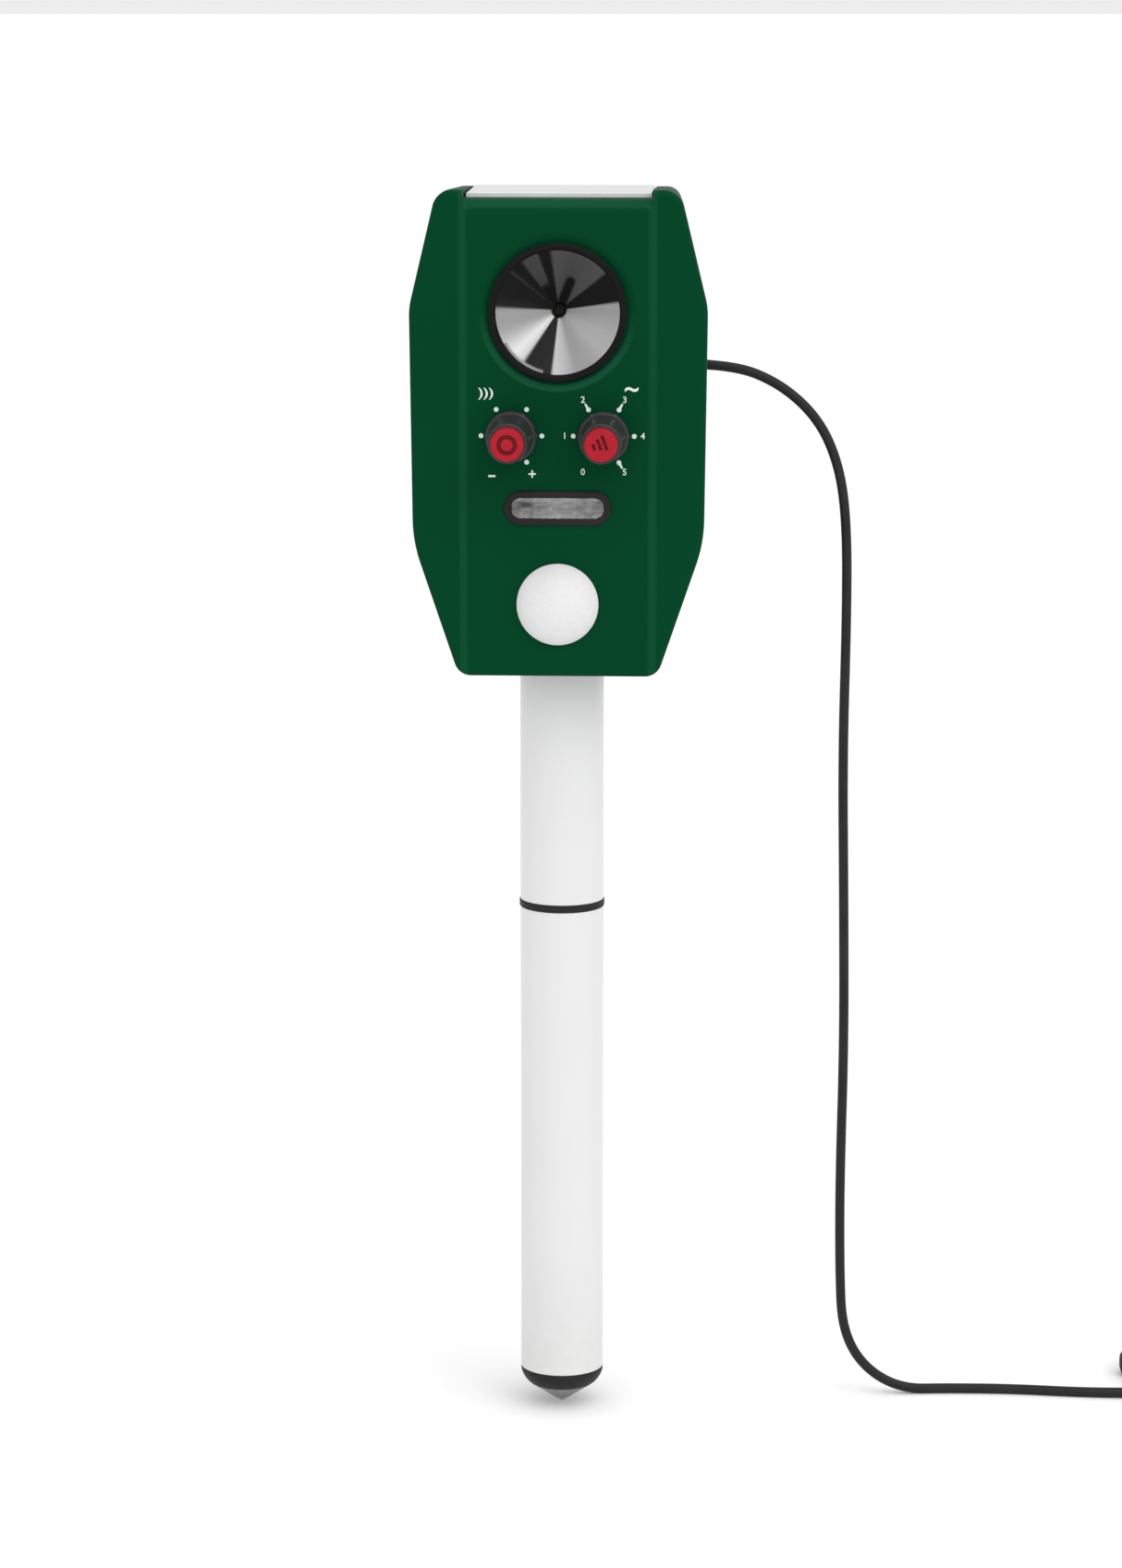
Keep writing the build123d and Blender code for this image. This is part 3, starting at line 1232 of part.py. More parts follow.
with BuildPart() as plug_grip:
    with BuildSketch(Plane.XZ.offset(-grip_y)):
        with Locations((tail_x - 0.5, grip_z)):
            RectangleRounded(GRIP_WIDTH - 4, GRIP_HEIGHT - 2, 2.0)
    with BuildSketch(Plane.XZ.offset(-grip_y - 6)):
        with Locations((tail_x - 0.5, grip_z)):
            RectangleRounded(GRIP_WIDTH, GRIP_HEIGHT, 2.4)
    loft()
    with BuildSketch(Plane.XZ.offset(-grip_y - GRIP_LENGTH)):
        with Locations((tail_x - 0.5, grip_z)):
            RectangleRounded(GRIP_WIDTH, GRIP_HEIGHT, 2.4)
    extrude(amount=GRIP_LENGTH - 6)
plug_grip.part.label = "plug_grip"
export_step(plug_grip.part, "parts/plug_grip.step")

shell_y = grip_y + GRIP_LENGTH
with BuildPart() as plug_shell:
    with BuildSketch(Plane.XZ.offset(-shell_y - SHELL_LENGTH)):
        with Locations((tail_x - 0.5, grip_z)):
            RectangleRounded(SHELL_WIDTH, SHELL_HEIGHT, 0.5)
            Rectangle(SHELL_WIDTH - 0.7, SHELL_HEIGHT - 0.7, mode=Mode.SUBTRACT)
    extrude(amount=SHELL_LENGTH)
    with Locations((tail_x - 0.5, shell_y, grip_z - 1.0)):
        Box(SHELL_WIDTH - 0.7, SHELL_LENGTH - 1.0, 2.0, align=(Align.CENTER, Align.MIN, Align.CENTER))
plug_shell.part.label = "plug_shell"
export_step(plug_shell.part, "parts/plug_shell.step")
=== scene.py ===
import bpy
import math
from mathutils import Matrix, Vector


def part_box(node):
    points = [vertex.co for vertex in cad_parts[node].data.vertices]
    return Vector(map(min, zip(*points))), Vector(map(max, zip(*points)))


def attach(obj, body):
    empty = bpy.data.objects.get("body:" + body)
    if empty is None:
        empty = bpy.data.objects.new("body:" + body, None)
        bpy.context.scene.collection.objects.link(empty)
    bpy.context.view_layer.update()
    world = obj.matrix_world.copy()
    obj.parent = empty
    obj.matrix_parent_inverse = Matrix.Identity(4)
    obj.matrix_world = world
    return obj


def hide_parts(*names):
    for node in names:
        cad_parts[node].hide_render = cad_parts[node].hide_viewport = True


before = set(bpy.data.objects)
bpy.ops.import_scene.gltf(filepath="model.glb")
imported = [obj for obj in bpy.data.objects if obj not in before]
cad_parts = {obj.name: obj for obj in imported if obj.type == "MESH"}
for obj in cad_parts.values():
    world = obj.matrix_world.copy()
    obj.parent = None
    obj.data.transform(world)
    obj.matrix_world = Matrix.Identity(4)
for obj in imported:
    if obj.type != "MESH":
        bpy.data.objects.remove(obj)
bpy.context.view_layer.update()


# ---- Camera ----
# A long lens a little above the object and a touch to its right, so that the whole object stands
# in the upright frame with room above the solar panel and below the point.
camera_at = Vector((0.0563, -1.2964, 0.4399))
look_at = Vector((-0.0004, 0.0019, 0.1931))
camera_data = bpy.data.cameras.new("camera")
camera_data.sensor_fit = "VERTICAL"
camera_data.sensor_height = 36.0
camera_data.lens = 101.0
camera_data.clip_start = 0.05
camera_data.clip_end = 30.0
camera = bpy.data.objects.new("camera", camera_data)
camera.location = camera_at
camera.rotation_euler = (look_at - camera_at).to_track_quat("-Z", "Y").to_euler()
bpy.context.scene.collection.objects.link(camera)
bpy.context.scene.camera = camera


# ---- Cord ----
# A thin round low-voltage lead with a smooth black PVC jacket, extruded in one length. It leaves
# the head's right side, drops under its own weight and ends in a neat coil on the ground.
class Socket:
    """One value of a material: maths on it adds the Math nodes that work it out."""

    def __init__(self, finish, output):
        self.finish = finish
        self.output = output

    def maths(self, operation, first, second=0.0):
        return self.finish.maths(operation, first, second)

    def __add__(self, other):
        return self.maths("ADD", self, other)

    def __radd__(self, other):
        return self.maths("ADD", other, self)

    def __sub__(self, other):
        return self.maths("SUBTRACT", self, other)

    def __rsub__(self, other):
        return self.maths("SUBTRACT", other, self)

    def __mul__(self, other):
        return self.maths("MULTIPLY", self, other)

    def __rmul__(self, other):
        return self.maths("MULTIPLY", other, self)

    def __truediv__(self, other):
        return self.maths("DIVIDE", self, other)

    def __pow__(self, other):
        return self.maths("POWER", self, other)

    def __gt__(self, other):
        return self.maths("GREATER_THAN", self, other)

    def __lt__(self, other):
        return self.maths("LESS_THAN", self, other)

    def size(self):
        """The value without its sign."""
        return self.maths("ABSOLUTE", self)

    def larger(self, other):
        return self.maths("MAXIMUM", self, other)

    def fold(self, length):
        """Runs up from 0 to length and back again, over and over."""
        return self.maths("PINGPONG", self, length)


class Finish:
    """A material: the shader's constant sockets are set first, and nodes are added after."""

    def __init__(self, name, constants):
        self.material = bpy.data.materials.new(name)
        self.material.use_nodes = True
        self.tree = self.material.node_tree
        self.shader = self.tree.nodes["Principled BSDF"]
        for socket, value in constants.items():
            self.shader.inputs[socket].default_value = value

    def node(self, kind, settings, sockets, output=""):
        """Adds a node: its settings or a ramp's stops first, then its sockets' values or links."""
        made = self.tree.nodes.new("ShaderNode" + kind)
        for name, value in settings.items():
            if name == "stops":
                ramp = made.color_ramp
                while len(ramp.elements) < len(value):
                    ramp.elements.new(1.0)
                for element, (place, tone) in zip(ramp.elements, value):
                    element.position = place
                    element.color = (tone, tone, tone, 1.0)
            else:
                setattr(made, name, value)
        for name, value in sockets.items():
            socket = next(s for s in made.inputs if name in (s.identifier, s.name))
            if isinstance(value, Socket):
                self.tree.links.new(value.output, socket)
            else:
                socket.default_value = value
        named = [each for each in made.outputs if output in (each.identifier, each.name)]
        return Socket(self, (named or made.outputs)[0])

    def maths(self, operation, first, second=0.0):
        """One Math node."""
        sockets = {"Value": first, "Value_001": second}
        return self.node("Math", {"operation": operation}, sockets)

    def place(self, centre=(0.0, 0.0, 0.0)):
        """The point on the piece, measured from centre, in metres."""
        here = self.node("TexCoord", {}, {}, "Object")
        shift = {"Vector": here, "Vector_001": tuple(centre)}
        return self.node("VectorMath", {"operation": "SUBTRACT"}, shift)

    def flat(self, centre=(0.0, 0.0, 0.0)):
        """The same point with its depth from front to back left out."""
        here = {"Vector": self.place(centre), "Vector_001": (1.0, 0.0, 1.0)}
        return self.node("VectorMath", {"operation": "MULTIPLY"}, here)

    def axes(self, letters, centre=(0.0, 0.0, 0.0)):
        """How far the same point lies along each of these axes."""
        here = self.place(centre)
        return [self.node("SeparateXYZ", {}, {"Vector": here}, letter) for letter in letters]

    def noise(self, scale, detail=2.0, stretch=(1.0, 1.0, 1.0)):
        """Soft random blotches, scale to the metre, drawn out along an axis by a small stretch."""
        here = {"Vector": self.place(), "Vector_001": stretch}
        there = self.node("VectorMath", {"operation": "MULTIPLY"}, here)
        sockets = {"Vector": there, "Scale": scale, "Detail": detail}
        return self.node("TexNoise", {}, sockets, "Fac")

    def step(self, value, low, high):
        """0 below low and 1 above high, with a smooth rise between them."""
        sockets = {"Value": value, "From Min": low, "From Max": high}
        return self.node("MapRange", {"interpolation_type": "SMOOTHSTEP"}, sockets)

    def mix(self, factor, first, second):
        """Goes from the first colour to the second."""
        sockets = {"Factor_Float": factor}
        for name, value in (("A_Color", first), ("B_Color", second)):
            sockets[name] = value if isinstance(value, Socket) else (*value, 1.0)
        return self.node("Mix", {"data_type": "RGBA"}, sockets, "Result_Color")

    def bump(self, height, distance):
        """Raises the surface by distance, in metres, where height is 1."""
        self.set("Normal", self.node("Bump", {}, {"Height": height, "Distance": distance}))

    def set(self, socket, value):
        """Joins a value to one of the shader's own sockets."""
        self.tree.links.new(value.output, self.shader.inputs[socket])


def cord_jacket():
    """Smooth black PVC, a little dusty and scuffed, with the faint drawing lines of its die."""
    finish = Finish("cord_jacket", {"Specular IOR Level": 0.18})
    dust = finish.noise(90.0, 4.0)
    lines = finish.noise(1800.0, 2.0, (1.0, 1.0, 0.15))
    finish.set("Base Color", finish.mix(dust, (0.008, 0.008, 0.009), (0.022, 0.022, 0.023)))
    finish.set("Roughness", 0.34 + 0.16 * dust)
    finish.bump(lines, 0.00002)
    return finish.material


cord_radius = 0.0015
cord_route = [
    (0.0350, 0.0100, 0.3188),
    (0.0500, 0.0100, 0.3188),
    (0.0645, 0.0102, 0.3130),
    (0.0760, 0.0100, 0.3025),
    (0.0822, 0.0097, 0.2885),
    (0.0846, 0.0098, 0.2710),
    (0.0849, 0.0105, 0.2430),
    (0.0842, 0.0115, 0.2010),
    (0.0851, 0.0122, 0.1560),
    (0.0857, 0.0116, 0.1110),
    (0.0849, 0.0108, 0.0690),
    (0.0852, 0.0105, 0.0390),
    (0.0862, 0.0106, 0.0206),
    (0.0928, 0.0108, 0.0085),
    (0.1045, 0.0112, 0.0015),
    (0.1190, 0.0126, 0.0015),
    (0.1390, 0.0128, 0.0015),
    (0.1610, 0.0102, 0.0015),
    (0.1810, 0.0097, 0.0019),
    (0.1990, 0.0109, 0.0023),
]
cord_tail = [
    (0.2215, 0.0335, 0.0053),
    (0.2219, 0.0414, 0.0051),
    (0.2211, 0.0495, 0.0041),
    (0.2210, 0.0565, 0.0040),
]
coil_low, coil_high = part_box("cord_coil")
coil_centre = (coil_low + coil_high) / 2
outer_turn = coil_high.x - coil_centre.x - cord_radius
lower_layer = coil_low.z + cord_radius
upper_layer = lower_layer + 2 * cord_radius
points_per_turn = 16
turns_in = 3.0
turns_out = 6.25
inner_turn = outer_turn - 2 * cord_radius * turns_in
coil_points = []
for i in range(1, int(turns_out * points_per_turn)):
    turn = i / points_per_turn
    if turn < turns_in:
        radius = outer_turn - 2 * cord_radius * turn
    else:
        radius = max(inner_turn, outer_turn - 2 * cord_radius * (turns_out - turn))
    rise = min(max((turn - turns_in + 0.25) / 0.5, 0.0), 1.0)
    height = lower_layer + (upper_layer - lower_layer) * rise * rise * (3 - 2 * rise)
    angle = math.tau * turn - math.pi / 2
    reach = radius / math.cos(math.pi / points_per_turn)
    coil_points.append(
        (coil_centre.x + reach * math.cos(angle), coil_centre.y + reach * math.sin(angle), height)
    )
cord_points = cord_route + coil_points + cord_tail
cord_curve = bpy.data.curves.new("cord", "CURVE")
cord_curve.dimensions = "3D"
cord_curve.bevel_depth = cord_radius
cord_curve.bevel_resolution = 5
cord_curve.resolution_u = 8
cord_curve.use_fill_caps = True
cord_line = cord_curve.splines.new("NURBS")
cord_line.points.add(len(cord_points) - 1)
for point, place in zip(cord_line.points, cord_points):
    point.co = (*place, 1.0)
cord_line.order_u = 3
cord_line.use_endpoint_u = True
cord = bpy.data.objects.new("cord", cord_curve)
bpy.context.scene.collection.objects.link(cord)
cord_curve.materials.append(cord_jacket())
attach(cord, "head")
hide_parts("cord_run", "cord_coil", "cord_tail")


# ---- Plug ----
# The lead ends in a flat low-voltage plug: a black rubber grip with finger ribs moulded over a
# folded sheet steel shell, and inside the shell a white tongue with four gold strips.
def pick(piece, kind, test):
    """Opens the piece for editing with those of its vertices, edges or polygons that pass."""
    bpy.context.view_layer.objects.active = piece
    bpy.ops.object.mode_set(mode="OBJECT")
    mesh = piece.data
    for group in (mesh.vertices, mesh.edges, mesh.polygons):
        group.foreach_set("select", [False] * len(group))
    for item in getattr(mesh, kind):
        if kind == "vertices":
            item.select = test(item.co)
        else:
            corners = [mesh.vertices[i].co for i in item.vertices]
            item.select = test(sum(corners, Vector()) / len(corners), item, corners)
    kinds = ("vertices", "edges", "polygons")
    bpy.context.tool_settings.mesh_select_mode = [kind == each for each in kinds]
    bpy.ops.object.mode_set(mode="EDIT")


def push(depth):
    """Extrudes what is picked and moves it to the rear, or to the front if depth is below 0."""
    bpy.ops.mesh.extrude_region_move(TRANSFORM_OT_translate={"value": (0, depth, 0)})


def cut(point, normal):
    """Cuts the whole open mesh through with a plane, and keeps both sides."""
    bpy.ops.mesh.select_all(action="SELECT")
    bpy.ops.mesh.bisect(plane_co=point, plane_no=normal)


def block(low, high):
    """A block between two corners, its place already in its mesh, to be shaped further."""
    bpy.ops.object.select_all(action="DESELECT")
    bpy.ops.mesh.primitive_cube_add(size=1.0, location=(low + high) / 2, scale=high - low)
    bpy.ops.object.transform_apply(location=True, rotation=True, scale=True)
    return bpy.context.object


def rod(centre, radius, depth, sides):
    """A round bar from front to back, its place already in its mesh, to be shaped further."""
    bpy.ops.object.select_all(action="DESELECT")
    turn = (math.pi / 2, 0, 0)
    bpy.ops.mesh.primitive_cylinder_add(
        vertices=sides, radius=radius, depth=depth, location=centre, rotation=turn
    )
    bpy.ops.object.transform_apply(location=True, rotation=True, scale=True)
    return bpy.context.object


def join(first, *others):
    """Makes one mesh of several."""
    bpy.ops.object.mode_set(mode="OBJECT")
    bpy.ops.object.select_all(action="DESELECT")
    for piece in (first, *others):
        piece.select_set(True)
    bpy.context.view_layer.objects.active = first
    bpy.ops.object.join()
    return first


def soften(piece, width, angle=35.0):
    """Rounds the piece's edges that are sharper than the angle, in degrees."""
    bevel = piece.modifiers.new("rounding", "BEVEL")
    bevel.width = width
    bevel.segments = 2
    bevel.limit_method = "ANGLE"
    bevel.angle_limit = math.radians(angle)


def settle(piece, name, body, finish, slot, *replaced):
    """Closes a new piece: modifiers and place go into its mesh, then its finish and its body."""
    bpy.context.view_layer.objects.active = piece
    bpy.ops.object.mode_set(mode="OBJECT")
    bpy.ops.object.select_all(action="DESELECT")
    piece.select_set(True)
    for modifier in [modifier.name for modifier in piece.modifiers]:
        bpy.ops.object.modifier_apply(modifier=modifier)
    bpy.ops.object.transform_apply(location=True, rotation=True, scale=True)
    bpy.ops.object.shade_smooth_by_angle(angle=math.radians(35))
    bpy.ops.object.select_all(action="DESELECT")
    piece.name = name
    piece.data.name = name
    piece.data.materials.clear()
    piece.data.materials.append(finish)
    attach(piece, body)
    if replaced:
        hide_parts(*replaced)


def rubber(name, dark, light):
    """Moulded rubber: matt, with a fine grain and a bloom of dust."""
    finish = Finish(name, {"Specular IOR Level": 0.35})
    bloom = finish.noise(120.0, 4.0)
    grain = finish.noise(4200.0)
    finish.set("Base Color", finish.mix(bloom, dark, light))
    finish.set("Roughness", 0.52 + 0.2 * bloom)
    finish.bump(grain, 0.00003)
    return finish.material


def bright_metal(name, tone, rough, stretch=(1.0, 1.0, 1.0)):
    """Plated metal: bright, with fine drawn lines and slightly uneven polish."""
    finish = Finish(name, {})
    blotches = finish.noise(160.0, 3.0)
    lines = finish.noise(5200.0, 2.0, stretch)
    finish.set("Base Color", finish.mix(blotches, tone, [0.86 * part for part in tone]))
    finish.set("Metallic", 1.0 - 0.06 * blotches)
    finish.set("Roughness", rough + 0.12 * lines)
    finish.bump(lines, 0.000012)
    return finish.material


grip_low, grip_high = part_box("plug_grip")
grip_centre = (grip_low + grip_high) / 2
grip = block(grip_low, grip_high)
pick(grip, "edges", lambda centre, edge, ends: abs(ends[0].y - ends[1].y) > 0.01)
bpy.ops.mesh.bevel(offset=0.0026, segments=5)
taper_y = grip_low.y + 0.006
cut((0, taper_y, 0), (0, 1, 0))
groove_pitch = 0.0022
groove_starts = [grip_low.y + 0.0085 + groove_pitch * i for i in range(5)]
for groove_start in groove_starts:
    for offset in (0.0, 0.0004, 0.0011, 0.0015):
        cut((0, groove_start + offset, 0), (0, 1, 0))
pick(grip, "vertices", lambda at: at.y < taper_y - 0.001)
bpy.ops.transform.resize(value=(0.42, 1, 0.55), center_override=grip_centre)


def in_groove(at):
    """True for the two middle cuts of each finger groove."""
    return any(0.0003 < at.y - start < 0.0012 for start in groove_starts)


pick(grip, "vertices", in_groove)
bpy.ops.transform.resize(value=(0.93, 1, 0.86), center_override=grip_centre)
soften(grip, 0.0003, 30.0)
black_rubber = rubber("black_rubber", (0.010, 0.010, 0.011), (0.026, 0.026, 0.027))
settle(grip, "plug_grip_ribbed", "head", black_rubber, "black_rubber", "plug_grip")

shell_low, shell_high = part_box("plug_shell")
shell = block(shell_low, shell_high)
pick(shell, "edges", lambda centre, edge, ends: abs(ends[0].y - ends[1].y) > 0.01)
bpy.ops.mesh.bevel(offset=0.0006, segments=3)
window_y = (shell_high.y - 0.0075, shell_high.y - 0.0050)
window_x = (0.0017, 0.0038)
for edge_y in window_y:
    cut((0, edge_y, 0), (0, 1, 0))
shell_x = (shell_low.x + shell_high.x) / 2
for edge_x in (*window_x, -window_x[0], -window_x[1]):
    cut((shell_x + edge_x, 0, 0), (1, 0, 0))


def open_face(centre, face, corners):
    """True for the shell's open end and for the two windows in its top."""
    across = abs(centre.x - shell_x)
    is_window = (
        face.normal.z > 0.9
        and window_y[0] < centre.y < window_y[1]
        and window_x[0] < across < window_x[1]
    )
    return face.normal.y > 0.9 or is_window


pick(shell, "polygons", open_face)
bpy.ops.mesh.delete(type="FACE")
bpy.ops.object.mode_set(mode="OBJECT")
wall = shell.modifiers.new("sheet", "SOLIDIFY")
wall.thickness = 0.00035
wall.offset = -1.0
shell_steel = bright_metal("shell_steel", (0.62, 0.62, 0.63), 0.22, (1.0, 0.05, 1.0))
settle(shell, "plug_shell_folded", "head", shell_steel, "steel", "plug_shell")

tongue_low = Vector((shell_low.x + 0.0007, shell_low.y + 0.0002, shell_low.z + 0.0005))
tongue_high = Vector((shell_high.x - 0.0007, shell_high.y - 0.0012, shell_low.z + 0.0022))
tongue = block(tongue_low, tongue_high)
soften(tongue, 0.0002)


def moulded(name, dark, light, rough=0.4, specular=0.12):
    """Injection-moulded plastic: slightly uneven tone and gloss, and a fine moulded grain."""
    finish = Finish(name, {"Specular IOR Level": specular})
    cloud = finish.noise(45.0, 3.0)
    grain = finish.noise(3600.0)
    finish.set("Base Color", finish.mix(cloud, dark, light))
    finish.set("Roughness", rough + 0.08 * grain + 0.06 * cloud)
    finish.bump(grain, 0.00002)
    return finish.material


white_plastic = moulded("white_plastic", (0.72, 0.72, 0.70), (0.82, 0.82, 0.80))
settle(tongue, "plug_tongue", "head", white_plastic, "milky_lens")
strips = []
for i in range(4):
    strip_x = shell_x + 0.0022 * (i - 1.5)
    strip_low = Vector((strip_x - 0.0005, tongue_low.y + 0.002, tongue_high.z - 0.0001))
    strip_high = Vector((strip_x + 0.0005, tongue_high.y - 0.0012, tongue_high.z + 0.00025))
    strip = block(strip_low, strip_high)
    pick(strip, "edges", lambda centre, edge, ends: centre.z > tongue_high.z + 0.0002)
    bpy.ops.mesh.bevel(offset=0.00015, segments=2)
    bpy.ops.object.mode_set(mode="OBJECT")
    strips.append(strip)
contact_gold = bright_metal("contact_gold", (0.82, 0.60, 0.26), 0.2, (1.0, 0.05, 1.0))
settle(join(*strips), "plug_contacts", "head", contact_gold, "brass")


# ---- Cord tie ----
# A band of black hook-and-loop tape, wrapped once round the coil and closed on itself, with its
# short loose end lying on top.
tie_low, tie_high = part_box("cord_tie")
tie = block(tie_low, tie_high)
pick(tie, "edges", lambda centre, edge, ends: abs(ends[0].y - ends[1].y) > 0.001)
bpy.ops.mesh.bevel(offset=0.0026, segments=6)
pick(tie, "polygons", lambda centre, face, corners: abs(face.normal.y) > 0.9)
bpy.ops.mesh.delete(type="FACE")
bpy.ops.object.mode_set(mode="OBJECT")
tape = tie.modifiers.new("tape", "SOLIDIFY")
tape.thickness = 0.0007
tape.offset = -1.0
soften(tie, 0.00015)
end_low = Vector((tie_low.x + 0.0035, tie_low.y + 0.0002, tie_high.z - 0.0002))
end_high = Vector((tie_high.x - 0.0020, tie_high.y - 0.0002, tie_high.z + 0.0006))
loose_end = block(end_low, end_high)
pick(loose_end, "vertices", lambda at: at.x > end_high.x - 0.0001)
bpy.ops.transform.translate(value=(0, 0, 0.0004))
bpy.ops.object.mode_set(mode="OBJECT")
soften(loose_end, 0.0003)


def hook_tape():
    """Black hook-and-loop tape: a dense pile of tiny hooks that drinks in the light."""
    finish = Finish("hook_tape", {"Specular IOR Level": 0.2})
    cells = finish.node("TexVoronoi", {}, {"Vector": finish.place(), "Scale": 2600.0})
    finish.set("Base Color", finish.mix(cells, (0.020, 0.020, 0.022), (0.045, 0.045, 0.048)))
    finish.set("Roughness", 0.75 + 0.2 * cells)
    finish.bump(cells, 0.00012)
    return finish.material


tie_finish = hook_tape()
settle(tie, "cord_tie_band", "head", tie_finish, "black_plastic", "cord_tie")
settle(loose_end, "cord_tie_end", "head", tie_finish, "black_plastic")


# ---- Stake ----
# Two lengths of drawn aluminium tube with a white lacquer, a black moulded coupler with a thin
# collar between them, a black cap with a cast zinc point below and a black plug at the top.
def coat(finish, *nodes):
    """Gives these parts of the frame their finish."""
    for node in nodes:
        for material_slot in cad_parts[node].material_slots:
            material_slot.material = finish


def white_lacquer():
    """Satin stoved lacquer on drawn tube: off-white, a faint orange peel, soil marks low down."""
    finish = Finish("white_lacquer", {"Specular IOR Level": 0.4})
    cloud = finish.noise(35.0, 3.0)
    peel = finish.noise(900.0)
    clean = finish.mix(cloud, (0.665, 0.665, 0.67), (0.715, 0.715, 0.715))
    [z] = finish.axes("Z")
    soil = (1.0 - finish.step(z + 0.02 * cloud, 0.018, 0.060)) * finish.noise(300.0, 5.0) * 0.22
    finish.set("Base Color", finish.mix(soil, clean, (0.42, 0.38, 0.32)))
    finish.set("Roughness", 0.30 + 0.12 * cloud + 0.3 * soil)
    finish.bump(peel, 0.000025)
    return finish.material


def cast_zinc():
    """Cast zinc, left as it came from its die: dull grey with small pits and a scraped tip."""
    finish = Finish("cast_zinc", {})
    blotches = finish.noise(240.0, 4.0)
    pits = finish.noise(2400.0, 3.0)
    [z] = finish.axes("Z")
    worn = 1.0 - finish.step(z + 0.0015 * blotches, 0.0006, 0.0030)
    plain = finish.mix(blotches, (0.20, 0.20, 0.20), (0.32, 0.32, 0.32))
    finish.set("Base Color", finish.mix(worn, plain, (0.52, 0.52, 0.53)))
    finish.set("Metallic", 0.55 + 0.35 * worn)
    finish.set("Roughness", 0.58 - 0.2 * worn + 0.1 * pits)
    finish.bump(pits, 0.00006)
    return finish.material


coat(white_lacquer(), "lower_tube", "upper_tube")
black_plastic = moulded("black_plastic", (0.014, 0.014, 0.015), (0.024, 0.024, 0.025), 0.42)
coat(black_plastic, "tube_coupler", "spike_cap", "tube_plug")
coat(cast_zinc(), "spike_point")


# ---- Housing ----
# Two covers of dark green plastic moulded with a fine satin grain, drawn together by four deep
# screws on a grey rubber seal that shows as a groove all round.
def green_housing():
    """Dark green moulded plastic: satin, with painted highlights on the front's folds, its lip and
    the lower side of the speaker's seat.
    """
    finish = Finish("green_housing", {"Specular IOR Level": 0.03})
    cover_low, cover_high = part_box("front_cover")
    panel_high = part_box("solar_panel")[1]
    fold_x = panel_high.x + 0.0006
    lip_z = cover_high.z - 0.0038
    x, y, z = finish.axes("XYZ")
    at_front = 1.0 - finish.step(y, cover_low.y + 0.0022, cover_low.y + 0.0036)
    fold = 1.0 - finish.step((x.size() - fold_x).size(), 0.0004, 0.0018)
    lip = (1.0 - finish.step((z - lip_z).size(), 0.0005, 0.0020)) * (x.size() < fold_x)
    ring_low, ring_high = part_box("speaker_bezel")
    across, up = finish.axes("XZ", (ring_low + ring_high) / 2)
    seat_radius = 0.0217
    off_seat = ((across * across + up * up) ** 0.5 - seat_radius).size()
    seat = (1.0 - finish.step(off_seat, 0.0005, 0.0014)) * (1.0 - finish.step(up, -0.014, 0.004))
    # Painted highlights, a little blotchy, where the folds, the lip and the lower side of the
    # speaker's seat would catch the light.
    highlight_weight = 0.15 * fold + 0.20 * lip + 0.30 * seat
    painted_highlight = at_front * highlight_weight * (0.75 + 0.5 * finish.noise(60.0))
    cloud = finish.noise(22.0)
    grain = finish.noise(2800.0)
    plain = finish.mix(cloud, (0.0000, 0.0445, 0.0150), (0.0002, 0.0500, 0.0170))
    finish.set("Base Color", finish.mix(painted_highlight, plain, (0.020, 0.150, 0.075)))
    finish.set("Roughness", 0.36 + 0.08 * cloud + 0.06 * grain)
    finish.bump(grain, 0.000016)
    return finish.material


green = green_housing()
coat(green, "front_cover", "rear_cover")
grey_rubber = rubber("grey_rubber", (0.05, 0.05, 0.05), (0.08, 0.08, 0.08))
coat(grey_rubber, "housing_seal")
coat(black_rubber, "cord_grommet")
nickel = bright_metal("nickel_steel", (0.56, 0.56, 0.57), 0.26)
coat(nickel, "housing_screws")


# ---- Solar panel ----
# A thin board of dark blue silicon cells under clear cast resin, stuck into the recess on top of
# the head with foam tape. Seen almost edge on, the glossy resin only mirrors the bright sky.
def solar_cells():
    """Silicon cells under resin: four strips with fine silver fingers and wide busbars."""
    finish = Finish("solar_cells", {"Coat Roughness": 0.05, "Specular IOR Level": 0.1})
    panel_low, panel_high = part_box("solar_panel")
    x, y = finish.axes("XY", (panel_low + panel_high) / 2)
    width = panel_high.x - panel_low.x
    depth = panel_high.y - panel_low.y
    border = 0.0016
    cell_width = (width - 2 * border) / 4
    gap = x.fold(cell_width) < 0.0004
    finger = y.fold(0.0007) < 0.00008
    busbar = (x.size() + cell_width / 2).fold(cell_width) < 0.0006
    margin = (x.size() > width / 2 - border).larger(y.size() > depth / 2 - border)
    crystals = finish.noise(700.0)
    silicon = finish.mix(crystals, (0.004, 0.007, 0.030), (0.012, 0.022, 0.075))
    lined = finish.mix(0.5 * finger, silicon, (0.45, 0.46, 0.48))
    barred = finish.mix(busbar, lined, (0.62, 0.63, 0.65))
    spaced = finish.mix(gap, barred, (0.30, 0.31, 0.33))
    finish.set("Base Color", finish.mix(margin, spaced, (0.72, 0.73, 0.72)))
    finish.set("Roughness", 0.35 + 0.1 * crystals)
    finish.set("Coat Weight", 0.75 - 0.1 * crystals)
    sky = finish.tree.nodes.new("ShaderNodeBsdfGlossy")
    sky.inputs["Roughness"].default_value = 0.12
    sky.inputs["Color"].default_value = (0.92, 0.93, 0.92, 1.0)
    edge_on = finish.node("LayerWeight", {}, {"Blend": 0.5}, "Facing")
    blend = finish.tree.nodes.new("ShaderNodeMixShader")
    finish.tree.links.new(finish.step(edge_on, 0.82, 0.92).output, blend.inputs["Fac"])
    finish.tree.links.new(finish.shader.outputs[0], blend.inputs[1])
    finish.tree.links.new(sky.outputs[0], blend.inputs[2])
    surface = finish.tree.nodes["Material Output"].inputs["Surface"]
    finish.tree.links.new(blend.outputs[0], surface)
    return finish.material


